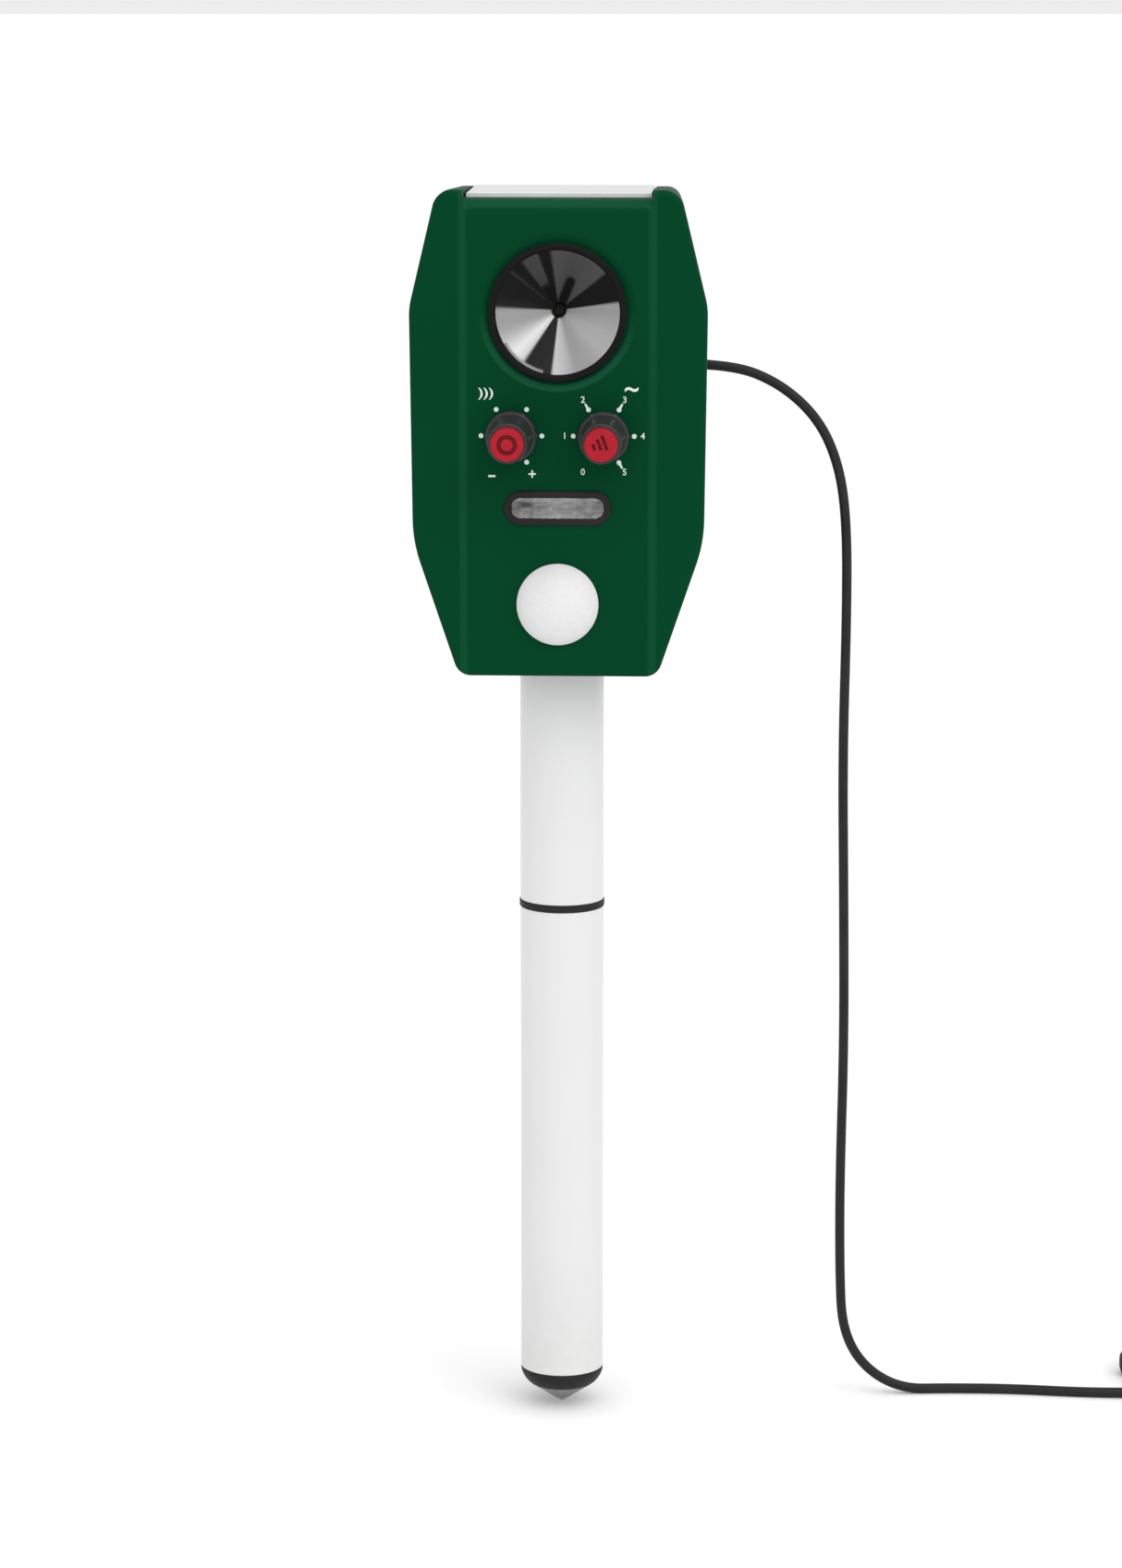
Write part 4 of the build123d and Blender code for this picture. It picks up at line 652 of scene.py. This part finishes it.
coat(solar_cells(), "solar_panel")
coat(black_rubber, "solar_tape")


# ---- Speaker ----
# A black ring moulded with a polished lip round a spun aluminium horn, with a small black cap at
# the bottom of the horn, all carried by a black frame with the brass piezo disc behind.
def spun_aluminium():
    """Bright spun aluminium: fine turning rings, broad fans of painted bright and dark reflection,
    and a painted highlight on part of the rim.
    """
    finish = Finish("spun_aluminium", {})
    cone_low, cone_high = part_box("speaker_cone")
    centre = (cone_low + cone_high) / 2
    cone_radius = (cone_high.x - cone_low.x) / 2
    x, z = finish.axes("XZ", centre)
    turn = finish.maths("ARCTAN2", z, x) / math.tau
    radius = (x * x + z * z) ** 0.5
    # Degrees round the cone, and how bright the painted reflection is there.
    reflection_fans = [
        (-180, 0.34), (-152, 0.37), (-138, 0.42), (-127, 0.30), (-123, 0.010), (-97, 0.018),
        (-94, 0.37), (-79, 0.31), (-72, 0.27), (-58, 0.36), (-42, 0.46), (-24, 0.42),
        (2, 0.28), (8, 0.31), (11, 0.010), (38, 0.010), (41, 0.070), (95, 0.076),
        (98, 0.011), (108, 0.011), (110, 0.066), (124, 0.060), (127, 0.011), (137, 0.012),
        (139, 0.034), (141, 0.012), (160, 0.012), (174, 0.020), (177, 0.30), (180, 0.34),
    ]
    stops = [((degrees + 180) / 360, tone) for degrees, tone in reflection_fans]
    # Painted reflection: the ramp makes the metal brighter or darker by the angle round the cone.
    tone = finish.node("ValToRGB", {"stops": stops}, {"Fac": turn + 0.5})
    inner = 1.0 - finish.step(radius / cone_radius, 0.42, 0.54)
    # Painted dark reflection in a sector of the inner cone and in a streak that runs out from the
    # centre.
    left_shade = (turn > 108 / 360) * (turn < 126 / 360) * inner
    streak_turn = math.radians(68)
    along = x * math.cos(streak_turn) + z * math.sin(streak_turn)
    across = z * math.cos(streak_turn) - x * math.sin(streak_turn)
    past_end = (along - 0.52 * cone_radius).larger(0.0)
    off_streak = (past_end * past_end + across * across) ** 0.5
    dark_streak_reflection = (1.0 - finish.step(off_streak, 0.0009, 0.0019)) * (along > 0.0)
    shaded = finish.mix(left_shade.larger(dark_streak_reflection), tone, (0.011, 0.011, 0.011))
    # A painted highlight, a thin light line along the rim at the lower left.
    in_fan = (turn > -150 / 360) * (turn < -104 / 360)
    rim = in_fan * finish.step(radius / cone_radius, 0.94, 0.98)
    rings = finish.maths("SINE", radius * 42000.0)
    finish.set("Base Color", finish.mix(rim, shaded, (0.16, 0.16, 0.16)))
    finish.set("Metallic", 1.0 - 0.04 * finish.noise(200.0))
    finish.set("Roughness", 0.30 + 0.03 * rings)
    finish.bump(rings, 0.000004)
    return finish.material


black_gloss = moulded("black_gloss", (0.003, 0.003, 0.0035), (0.007, 0.007, 0.007), 0.28, 0.10)
coat(black_gloss, "speaker_bezel", "speaker_dome")
coat(spun_aluminium(), "speaker_cone")
coat(black_plastic, "speaker_frame")
brass = bright_metal("brass", (0.70, 0.50, 0.22), 0.3)
coat(brass, "piezo_disc")


# ---- Dial marks ----
# Screen-printed white ink on the front cover: a ring of dots round each dial, numbers for the
# steps of the right-hand one, and small signs for less, more, reach and pitch.
front_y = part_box("speaker_bezel")[0].y + 0.001
ink_depth = 0.00004


def dial_axis(dial):
    """The point where the dial's axis meets the front of the housing."""
    knob_low, knob_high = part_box(dial + "_knob")
    return Vector(((knob_low.x + knob_high.x) / 2, front_y, (knob_low.z + knob_high.z) / 2))


def dot(x, z, radius):
    """One printed dot, slightly domed at its rim where the ink has drawn in."""
    mark = rod((x, front_y - ink_depth / 2, z), radius, 2 * ink_depth, 20)
    pick(mark, "polygons", lambda centre, face, corners: face.normal.y < -0.9)
    bpy.ops.mesh.inset(thickness=radius * 0.2)
    bpy.ops.transform.translate(value=(0, -ink_depth / 3, 0))
    bpy.ops.object.mode_set(mode="OBJECT")
    return mark


def sign(text, x, z, size, stretch=1.0):
    """One printed sign, centred on its place."""
    bpy.ops.object.select_all(action="DESELECT")
    bpy.ops.object.text_add(location=(x, front_y, z), rotation=(math.pi / 2, 0, 0))
    mark = bpy.context.object
    mark.data.body = text
    mark.data.size = size
    mark.data.align_x = "CENTER"
    mark.data.align_y = "CENTER"
    mark.data.extrude = ink_depth
    mark.data.offset = size * 0.012
    mark.data.resolution_u = 6
    mark.scale = (stretch, 1.0, 1.0)
    bpy.ops.object.convert(target="MESH")
    bpy.ops.object.transform_apply(location=True, rotation=True, scale=True)
    return bpy.context.object


def tick(dial, turn):
    """A short printed stroke that runs outwards from a dot, narrower at its end."""
    middle = Vector((dial.x, dial.y, dial.z + dot_ring + 0.0010))
    half = Vector((0.00042, ink_depth, 0.0010))
    mark = block(middle - half, middle + half)
    pick(mark, "vertices", lambda at: at.z > middle.z)
    bpy.ops.transform.resize(value=(0.6, 1, 1), center_override=middle)
    bpy.ops.object.mode_set(mode="OBJECT")
    mark.select_set(True)
    bpy.ops.transform.rotate(value=turn - math.pi / 2, orient_axis="Y", center_override=dial)
    return mark


dot_ring = 0.0088
number_ring = 0.0113
left_dial = dial_axis("sensitivity")
right_dial = dial_axis("frequency")
marks = []
for degrees in (180, 120, 60, 0, -60):
    across, up = math.cos(math.radians(degrees)), math.sin(math.radians(degrees))
    for dial in (left_dial, right_dial):
        marks.append(dot(dial.x + dot_ring * across, dial.z + dot_ring * up, 0.00070))
for degrees in (120, 60, -60):
    marks.append(tick(right_dial, math.radians(degrees)))
for number, degrees in enumerate((-120, 180, 120, 60, 0, -60)):
    across, up = math.cos(math.radians(degrees)), math.sin(math.radians(degrees))
    reach = number_ring + 0.0009 * abs(up)
    place = (right_dial.x + reach * across, right_dial.z + reach * up)
    marks.append(sign(str(number), *place, 0.0026))
marks.append(sign(")))", left_dial.x - 0.0073, left_dial.z + 0.0124, 0.0036, 1.3))
marks.append(sign("~", right_dial.x + 0.0080, right_dial.z + 0.0138, 0.0078, 0.9))
marks.append(sign("-", left_dial.x - 0.0057, left_dial.z - 0.0113, 0.0052, 1.5))
marks.append(sign("+", left_dial.x + 0.0060, left_dial.z - 0.0113, 0.0044))


def white_ink():
    """Screen-printed ink: slightly warm white, thinner and greener where the mesh held it back."""
    finish = Finish("white_ink", {"Specular IOR Level": 0.3})
    mesh = finish.noise(2600.0)
    finish.set("Base Color", finish.mix(mesh, (0.55, 0.68, 0.60), (0.80, 0.86, 0.82)))
    finish.set("Roughness", 0.5 + 0.15 * mesh)
    finish.bump(mesh, 0.00001)
    return finish.material


settle(join(*marks), "dial_marks", "head", white_ink(), "white_lacquer")


# ---- Dials ----
# Two black moulded knobs with a wide skirt and a smooth grip, pushed on to steel shafts that run
# in the brass bushings of the controls. Each has a red cap pressed into its end.
rim_rounding = 0.0006


def knob(dial):
    """A moulded knob: a skirt, a smooth grip that narrows to its tip, and a seat for the cap."""
    low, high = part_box(dial + "_knob")
    axis_at = (low + high) / 2
    skirt_radius = (high.x - low.x) / 2
    skirt_length = 0.0042
    grip_radius = 0.0064
    tip_radius = 0.0058
    tip_length = 0.0012
    seat_radius = 0.0049
    seat_depth = 0.0012
    hollow_radius = 0.0062
    hollow_depth = 0.0020
    bore_radius = 0.0031
    bore_depth = 0.0140
    skirt_at = Vector((axis_at.x, high.y - skirt_length / 2, axis_at.z))
    body = rod(skirt_at, skirt_radius, skirt_length, 96)
    front = high.y - skirt_length
    pick(body, "polygons", lambda centre, face, corners: face.normal.y < -0.9)
    bpy.ops.mesh.inset(thickness=skirt_radius - grip_radius)
    push(low.y - front + tip_length)
    narrow = 0.97 * tip_radius / grip_radius + 0.03
    bpy.ops.transform.resize(value=(narrow, 1, narrow), center_override=axis_at)
    push(-tip_length)
    shrink = tip_radius / grip_radius / narrow
    bpy.ops.transform.resize(value=(shrink, 1, shrink), center_override=axis_at)
    bpy.ops.mesh.inset(thickness=tip_radius - seat_radius)
    push(seat_depth)
    pick(body, "polygons", lambda centre, face, corners: centre.y > high.y - 0.0001)
    bpy.ops.mesh.inset(thickness=skirt_radius - hollow_radius)
    push(-hollow_depth)
    bpy.ops.mesh.inset(thickness=hollow_radius - bore_radius)
    push(-bore_depth)

    def rim(centre, edge, ends):
        """True for the skirt's two rims and the tip's rim."""
        out = math.hypot(ends[0].x - axis_at.x, ends[0].z - axis_at.z)
        along = abs(ends[0].y - ends[1].y) < 0.0001
        same = abs(out - math.hypot(ends[1].x - axis_at.x, ends[1].z - axis_at.z)) < 0.0001
        at_skirt = out > skirt_radius - 0.0001
        at_tip = ends[0].y < low.y + 0.0001 and out > tip_radius - 0.0001
        return along and same and (at_skirt or at_tip)

    pick(body, "edges", rim)
    bpy.ops.mesh.bevel(offset=rim_rounding, segments=4)
    return body


def cap(dial):
    """The red cap's blank, a shallow disc with a rounded rim, and the middle of its face."""
    low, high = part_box(dial + "_cap")
    axis_at = (low + high) / 2
    body = rod(axis_at, (high.x - low.x) / 2, high.y - low.y, 64)
    pick(body, "polygons", lambda centre, face, corners: face.normal.y < -0.9)
    bpy.ops.mesh.region_to_loop()
    bpy.ops.mesh.bevel(offset=rim_rounding, segments=4)
    bpy.ops.object.mode_set(mode="OBJECT")
    return body, Vector((axis_at.x, low.y, axis_at.z))


def cap_red(face_y):
    """Satin red plastic, with painted shade in the sunk marks below the cap's face."""
    finish = Finish("cap_red", {"Specular IOR Level": 0.15})
    cloud = finish.noise(260.0)
    grain = finish.noise(3600.0)
    [depth] = finish.axes("Y", (0.0, face_y, 0.0))
    # Painted shade where the surface lies sunk below the cap's face, so the recesses read darker.
    recess_shade = finish.step(depth, 0.00010, 0.00022) * (1.0 - finish.step(depth, 0.0007, 0.0009))
    red = finish.mix(cloud, (0.33, 0.007, 0.016), (0.40, 0.010, 0.022))
    finish.set("Base Color", finish.mix(0.85 * recess_shade, red, (0.12, 0.004, 0.009)))
    finish.set("Roughness", 0.34 + 0.1 * grain + 0.2 * recess_shade)
    finish.bump(grain, 0.00002)
    return finish.material


knob_black = moulded("knob_black", (0.020, 0.019, 0.021), (0.032, 0.030, 0.033), 0.34, 0.32)
for dial in ("sensitivity", "frequency"):
    name = dial + "_knob"
    settle(knob(dial), name + "_turned", dial + "_dial", knob_black, "knob_black", name)

mark_depth = 0.0005
flat_radius = 0.0043
ring_radius = 0.0029
ring_width = 0.0012
ring_cap, ring_at = cap("sensitivity")
cap_finish = cap_red(ring_at.y)
pick(ring_cap, "polygons", lambda centre, face, corners: face.normal.y < -0.99)
bpy.ops.mesh.inset(thickness=flat_radius - ring_radius)
bpy.ops.mesh.inset(thickness=ring_width)


def on_ring(centre, face, corners):
    """True for the ring between the two insets of the cap's face."""
    out = math.hypot(centre.x - ring_at.x, centre.z - ring_at.z)
    return face.normal.y < -0.99 and ring_radius - ring_width < out < ring_radius


pick(ring_cap, "polygons", on_ring)
push(mark_depth)
settle(ring_cap, "sensitivity_cap_ring", "sensitivity_dial", cap_finish, "cap_red", "sensitivity_cap")

bars_cap, bars_at = cap("frequency")
bar_width = 0.0009
lean = math.radians(20)
cutters = []
for across, length in ((-0.0020, 0.0018), (-0.0005, 0.0032), (0.0010, 0.0044)):
    middle = Vector((bars_at.x + across, bars_at.y, bars_at.z - 0.0014 + length / 2))
    half = Vector((bar_width / 2, mark_depth, length / 2))
    bar = block(middle - half, middle + half)
    bar.select_set(True)
    bpy.ops.transform.rotate(value=lean, orient_axis="Y", center_override=middle)
    cutters.append(bar)
cutter = join(*cutters)
sink = bars_cap.modifiers.new("bars", "BOOLEAN")
sink.object = cutter
sink.operation = "DIFFERENCE"
bpy.ops.object.select_all(action="DESELECT")
bpy.context.view_layer.objects.active = bars_cap
bpy.ops.object.modifier_apply(modifier="bars")
bpy.data.objects.remove(cutter)
settle(bars_cap, "frequency_cap_bars", "frequency_dial", cap_finish, "cap_red", "frequency_cap")
coat(nickel, "sensitivity_shaft", "frequency_shaft", "panel_nuts", "sensitivity_pot")
coat(black_plastic, "frequency_switch")


# ---- Lamp window ----
# A black moulded bezel round a clear lens with upright prism ribs. Behind it lie a plated
# reflector and three clear lamps on the circuit board.
def ribbed_lens():
    """The lens: a plate with round ends whose outer face is folded into upright ribs."""
    low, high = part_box("led_lens")
    centre = (low + high) / 2
    half_height = (high.z - low.z) / 2
    half_run = (high.x - low.x) / 2 - half_height
    plate = rod(centre, half_height, high.y - low.y, 48)
    for side in (-1, 1):
        pick(plate, "vertices", lambda at: side * (at.x - centre.x) > 0.00001)
        bpy.ops.transform.translate(value=(side * half_run, 0, 0))
    rib_width = 0.0011
    count = int((high.x - low.x) / rib_width / 2)
    bpy.ops.object.mode_set(mode="EDIT")
    for i in range(-count, count + 1):
        cut((centre.x + i * rib_width, 0, 0), (1, 0, 0))

    def on_crest(at):
        """True for every second cut line of the outer face."""
        step = (at.x - centre.x) / rib_width
        return at.y < low.y + 0.0001 and abs(step - round(step)) < 0.01 and round(step) % 2 == 0

    pick(plate, "vertices", on_crest)
    bpy.ops.transform.translate(value=(0, -0.00035, 0))
    return plate


def clear_lens():
    """Clear ribbed plastic over bright metal: a mottled grey, lighter in front of each lamp."""
    finish = Finish("clear_lens", {"IOR": 1.49, "Specular IOR Level": 0.6})
    low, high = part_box("led_lens")
    x, z = finish.axes("XZ", (low + high) / 2)
    mottle = finish.noise(480.0, 3.0, (0.7, 1.0, 1.7))
    glow = 1.0 - finish.step((x + 0.004).fold(0.004), 0.0, 0.0036)
    middle = 1.0 - finish.step(x.size(), 0.0, 0.011)
    edge = finish.step(z.size(), 0.0013, 0.0026)
    shade = (1.0 - finish.step((x + 0.0095).size(), 0.001, 0.004)) * (z > 0.0) * (1.0 - edge)
    bright = 0.85 * mottle - 0.2 + 0.15 * glow + 0.2 * middle + 0.2 * edge - 0.25 * shade
    finish.set("Base Color", finish.mix(bright, (0.03, 0.03, 0.031), (0.55, 0.55, 0.55)))
    finish.set("Roughness", 0.16 + 0.2 * mottle)
    finish.set("Alpha", 0.88 - 0.2 * glow)
    finish.bump(mottle, 0.0001)
    return finish.material


def chrome_plating():
    """Vacuum-plated plastic: a soft mirror with a hammered surface."""
    finish = Finish("chrome_plating", {"Metallic": 1.0})
    dents = finish.node("TexVoronoi", {}, {"Vector": finish.place(), "Scale": 900.0})
    finish.set("Base Color", finish.mix(dents, (0.80, 0.80, 0.81), (0.66, 0.66, 0.67)))
    finish.set("Roughness", 0.14 + 0.1 * dents)
    finish.bump(dents, 0.0002)
    return finish.material


lens_finish = clear_lens()
settle(ribbed_lens(), "led_lens_ribbed", "head", lens_finish, "clear_lens", "led_lens")
window_black = moulded("window_black", (0.010, 0.009, 0.009), (0.024, 0.022, 0.021), 0.36)
coat(window_black, "led_bezel")
coat(chrome_plating(), "led_reflector")
coat(lens_finish, "led_lamps")


# ---- Motion sensor ----
# A dome of milky polyethylene whose inner side is moulded into small lenses, held by a black
# ring against the inside of the front cover, with the sensor's steel can behind it.
def milky_dome():
    """Milky polyethylene: soft white, with the faint outlines of the small lenses inside it."""
    constants = {
        "Subsurface Weight": 0.15,
        "Subsurface Radius": (0.002, 0.002, 0.002),
        "Subsurface Scale": 1.0,
        "Specular IOR Level": 0.3,
    }
    finish = Finish("milky_dome", constants)
    low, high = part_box("pir_lens")
    here = finish.flat((low + high) / 2)
    cells = finish.node(
        "TexVoronoi", {"feature": "DISTANCE_TO_EDGE"}, {"Vector": here, "Scale": 330.0}
    )
    lines = 1.0 - finish.step(cells, 0.0, 0.06)
    cloud = finish.noise(180.0, 3.0)
    milk = finish.mix(cloud, (0.69, 0.69, 0.69), (0.73, 0.73, 0.73))
    finish.set("Base Color", finish.mix(0.10 * lines, milk, (0.50, 0.50, 0.50)))
    finish.set("Roughness", 0.40 + 0.1 * cloud)
    finish.bump(lines, 0.00001)
    return finish.material


coat(milky_dome(), "pir_lens")
coat(black_plastic, "pir_retainer")
coat(nickel, "pir_sensor")


# ---- Circuit board ----
# A green glass-fibre board on four screws, with the driver chip, a wound ferrite transformer and
# two sleeved capacitors on its rear side.
def board_green():
    """Solder mask over copper: translucent green, with the tracks showing as lighter lines."""
    finish = Finish("board_green", {"Coat Weight": 0.4, "Coat Roughness": 0.1})
    wave = {"Vector": finish.flat(), "Scale": 260.0, "Distortion": 6.0, "Detail": 0.0}
    tracks = finish.node("TexWave", {"wave_type": "BANDS"}, wave, "Fac")
    copper = tracks > 0.62
    cloud = finish.noise(120.0)
    mask = finish.mix(cloud, (0.010, 0.085, 0.035), (0.014, 0.110, 0.045))
    finish.set("Base Color", finish.mix(0.6 * copper, mask, (0.05, 0.24, 0.09)))
    finish.set("Roughness", 0.35 + 0.1 * cloud)
    finish.bump(copper, 0.00003)
    return finish.material


def ferrite():
    """Pressed ferrite and taped winding: dark grey, gritty, a little metallic."""
    finish = Finish("ferrite", {"Specular IOR Level": 0.4})
    grit = finish.noise(2200.0, 4.0)
    finish.set("Base Color", finish.mix(grit, (0.022, 0.021, 0.020), (0.060, 0.057, 0.054)))
    finish.set("Roughness", 0.55 + 0.2 * grit)
    finish.bump(grit, 0.00008)
    return finish.material


coat(board_green(), "main_board")
coat(nickel, "board_screws")
coat(black_gloss, "board_capacitors")
coat(ferrite(), "step_up_transformer")
coat(black_plastic, "driver_chip")


# ---- Battery bay ----
# A black tray inside the rear cover holds three sleeved cells between spring contacts: a flat
# plate on the end wall with a coil of plated steel wire standing on it, at each end of each cell.
def cell_sleeve():
    """Printed shrink sleeve: dark green body, a copper band at the plus end, bare metal ends."""
    finish = Finish("cell_sleeve", {"Specular IOR Level": 0.5})
    low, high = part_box("battery_cells")
    [x] = finish.axes("X", (low + high) / 2)
    half = (high.x - low.x) / 2
    band = x > half - 0.013
    bare = (x + 0.0005).size() > half - 0.0016
    scuffs = finish.noise(500.0, 4.0, (0.2, 1.0, 1.0))
    sleeve = finish.mix(scuffs, (0.030, 0.120, 0.060), (0.045, 0.160, 0.080))
    banded = finish.mix(band, sleeve, (0.62, 0.34, 0.14))
    finish.set("Base Color", finish.mix(bare, banded, (0.60, 0.60, 0.60)))
    finish.set("Metallic", bare * 0.95)
    finish.set("Roughness", 0.26 + 0.15 * scuffs)
    finish.bump(scuffs, 0.00002)
    return finish.material


def battery_springs():
    """All the contacts: a plate with rounded corners and a wire spring at each end of each cell."""
    contact_low, contact_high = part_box("battery_contacts")
    cell_low, cell_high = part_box("battery_cells")
    cell_radius = 0.00725
    wire = 0.00032
    spring_radius = 0.0027
    spring_turns = 3
    plate_half = Vector((0.0002, 0.0046, 0.0046))
    bay_centre = (cell_low + cell_high) / 2
    pitch = (cell_high.z - cell_low.z - 2 * cell_radius) / 2
    made = []
    walls = ((-1, contact_low.x, cell_low.x), (1, contact_high.x, cell_high.x))
    for side, wall_x, cell_x in walls:
        for i in (-1, 0, 1):
            foot_x = wall_x - side * plate_half.x
            foot = Vector((foot_x, bay_centre.y, bay_centre.z + i * pitch))
            plate = block(foot - plate_half, foot + plate_half)
            pick(plate, "edges", lambda centre, edge, ends: abs(ends[0].x - ends[1].x) > 0.0002)
            bpy.ops.mesh.bevel(offset=0.0012, segments=4)
            bpy.ops.object.mode_set(mode="OBJECT")
            reach = abs(wall_x - cell_x) - 0.0006 - wire
            ring = rod((spring_radius, 0, 0), wire, wire, 10)
            pick(ring, "polygons", lambda centre, face, corners: face.normal.y > -0.9)
            bpy.ops.mesh.delete(type="FACE")
            bpy.ops.object.mode_set(mode="OBJECT")
            coil = ring.modifiers.new("coil", "SCREW")
            coil.axis = "Z"
            coil.angle = math.tau
            coil.iterations = spring_turns
            coil.screw_offset = reach / spring_turns
            coil.steps = 20
            coil.render_steps = 20
            bpy.ops.object.select_all(action="DESELECT")
            ring.select_set(True)
            bpy.context.view_layer.objects.active = ring
            bpy.ops.object.modifier_apply(modifier="coil")
            ring.rotation_euler = (0, -side * math.pi / 2, 0)
            ring.location = foot - Vector((side * (plate_half.x + wire), 0, 0))
            bpy.ops.object.transform_apply(location=True, rotation=True, scale=True)
            made += [plate, ring]
    return join(*made)


springs = battery_springs()
settle(springs, "battery_springs", "head", nickel, "steel", "battery_contacts")
coat(cell_sleeve(), "battery_cells")
coat(black_plastic, "battery_tray")


# ---- Battery door ----
# A flat green door with a rounded rim, hung on a steel pin between two ears of the rear cover.
# A grey seal lies in its groove, and one slotted screw with a rubber washer holds it shut.
coat(green, "battery_door")
coat(grey_rubber, "door_seal")
coat(nickel, "door_hinge_pin", "door_screw")
coat(black_rubber, "door_screw_washer")


# ---- Floor and light ----
# A pale studio floor, an even bright surround with a broad bright ceiling, a soft box above at
# the right and a weaker one at the left.
def floor_paint():
    """Pale matt studio floor with barely visible roller marks."""
    finish = Finish("floor_paint", {"Specular IOR Level": 0.1})
    roller = finish.noise(14.0, 3.0, (1.0, 0.3, 1.0))
    finish.set("Base Color", finish.mix(roller, (0.93, 0.93, 0.93), (0.95, 0.95, 0.95)))
    finish.set("Roughness", 0.8 + 0.1 * roller)
    return finish.material


bpy.ops.object.select_all(action="DESELECT")
bpy.ops.mesh.primitive_plane_add(size=120.0)
floor = bpy.context.object
floor.name = "studio_floor"
floor.data.materials.append(floor_paint())

world = bpy.data.worlds.new("studio")
bpy.context.scene.world = world
world.use_nodes = True
world.node_tree.nodes["Background"].inputs["Color"].default_value = (1.0, 1.0, 1.0, 1.0)
world.node_tree.nodes["Background"].inputs["Strength"].default_value = 0.85
bpy.context.scene.view_settings.view_transform = "Standard"


object_middle = Vector((0, 0, 0.19))


def soft_box(name, place, width, height, power):
    """A rectangular light that looks at the middle of the object."""
    lamp_data = bpy.data.lights.new(name, "AREA")
    lamp_data.shape = "RECTANGLE"
    lamp_data.size = width
    lamp_data.size_y = height
    lamp_data.energy = power
    lamp = bpy.data.objects.new(name, lamp_data)
    lamp.location = place
    lamp.rotation_euler = (object_middle - Vector(place)).to_track_quat("-Z", "Y").to_euler()
    bpy.context.scene.collection.objects.link(lamp)


soft_box("key_box", (0.9, -1.1, 1.5), 0.9, 0.9, 3.0)
soft_box("left_box", (-1.6, -0.4, 0.7), 0.8, 1.2, 1.0)
sky_data = bpy.data.lights.new("ceiling", "SUN")
sky_data.energy = 1.1
sky_data.angle = math.radians(80)
sky_light = bpy.data.objects.new("ceiling", sky_data)
sky_light.rotation_euler = Vector((-0.5, 0.8, -1.2)).to_track_quat("-Z", "Y").to_euler()
bpy.context.scene.collection.objects.link(sky_light)
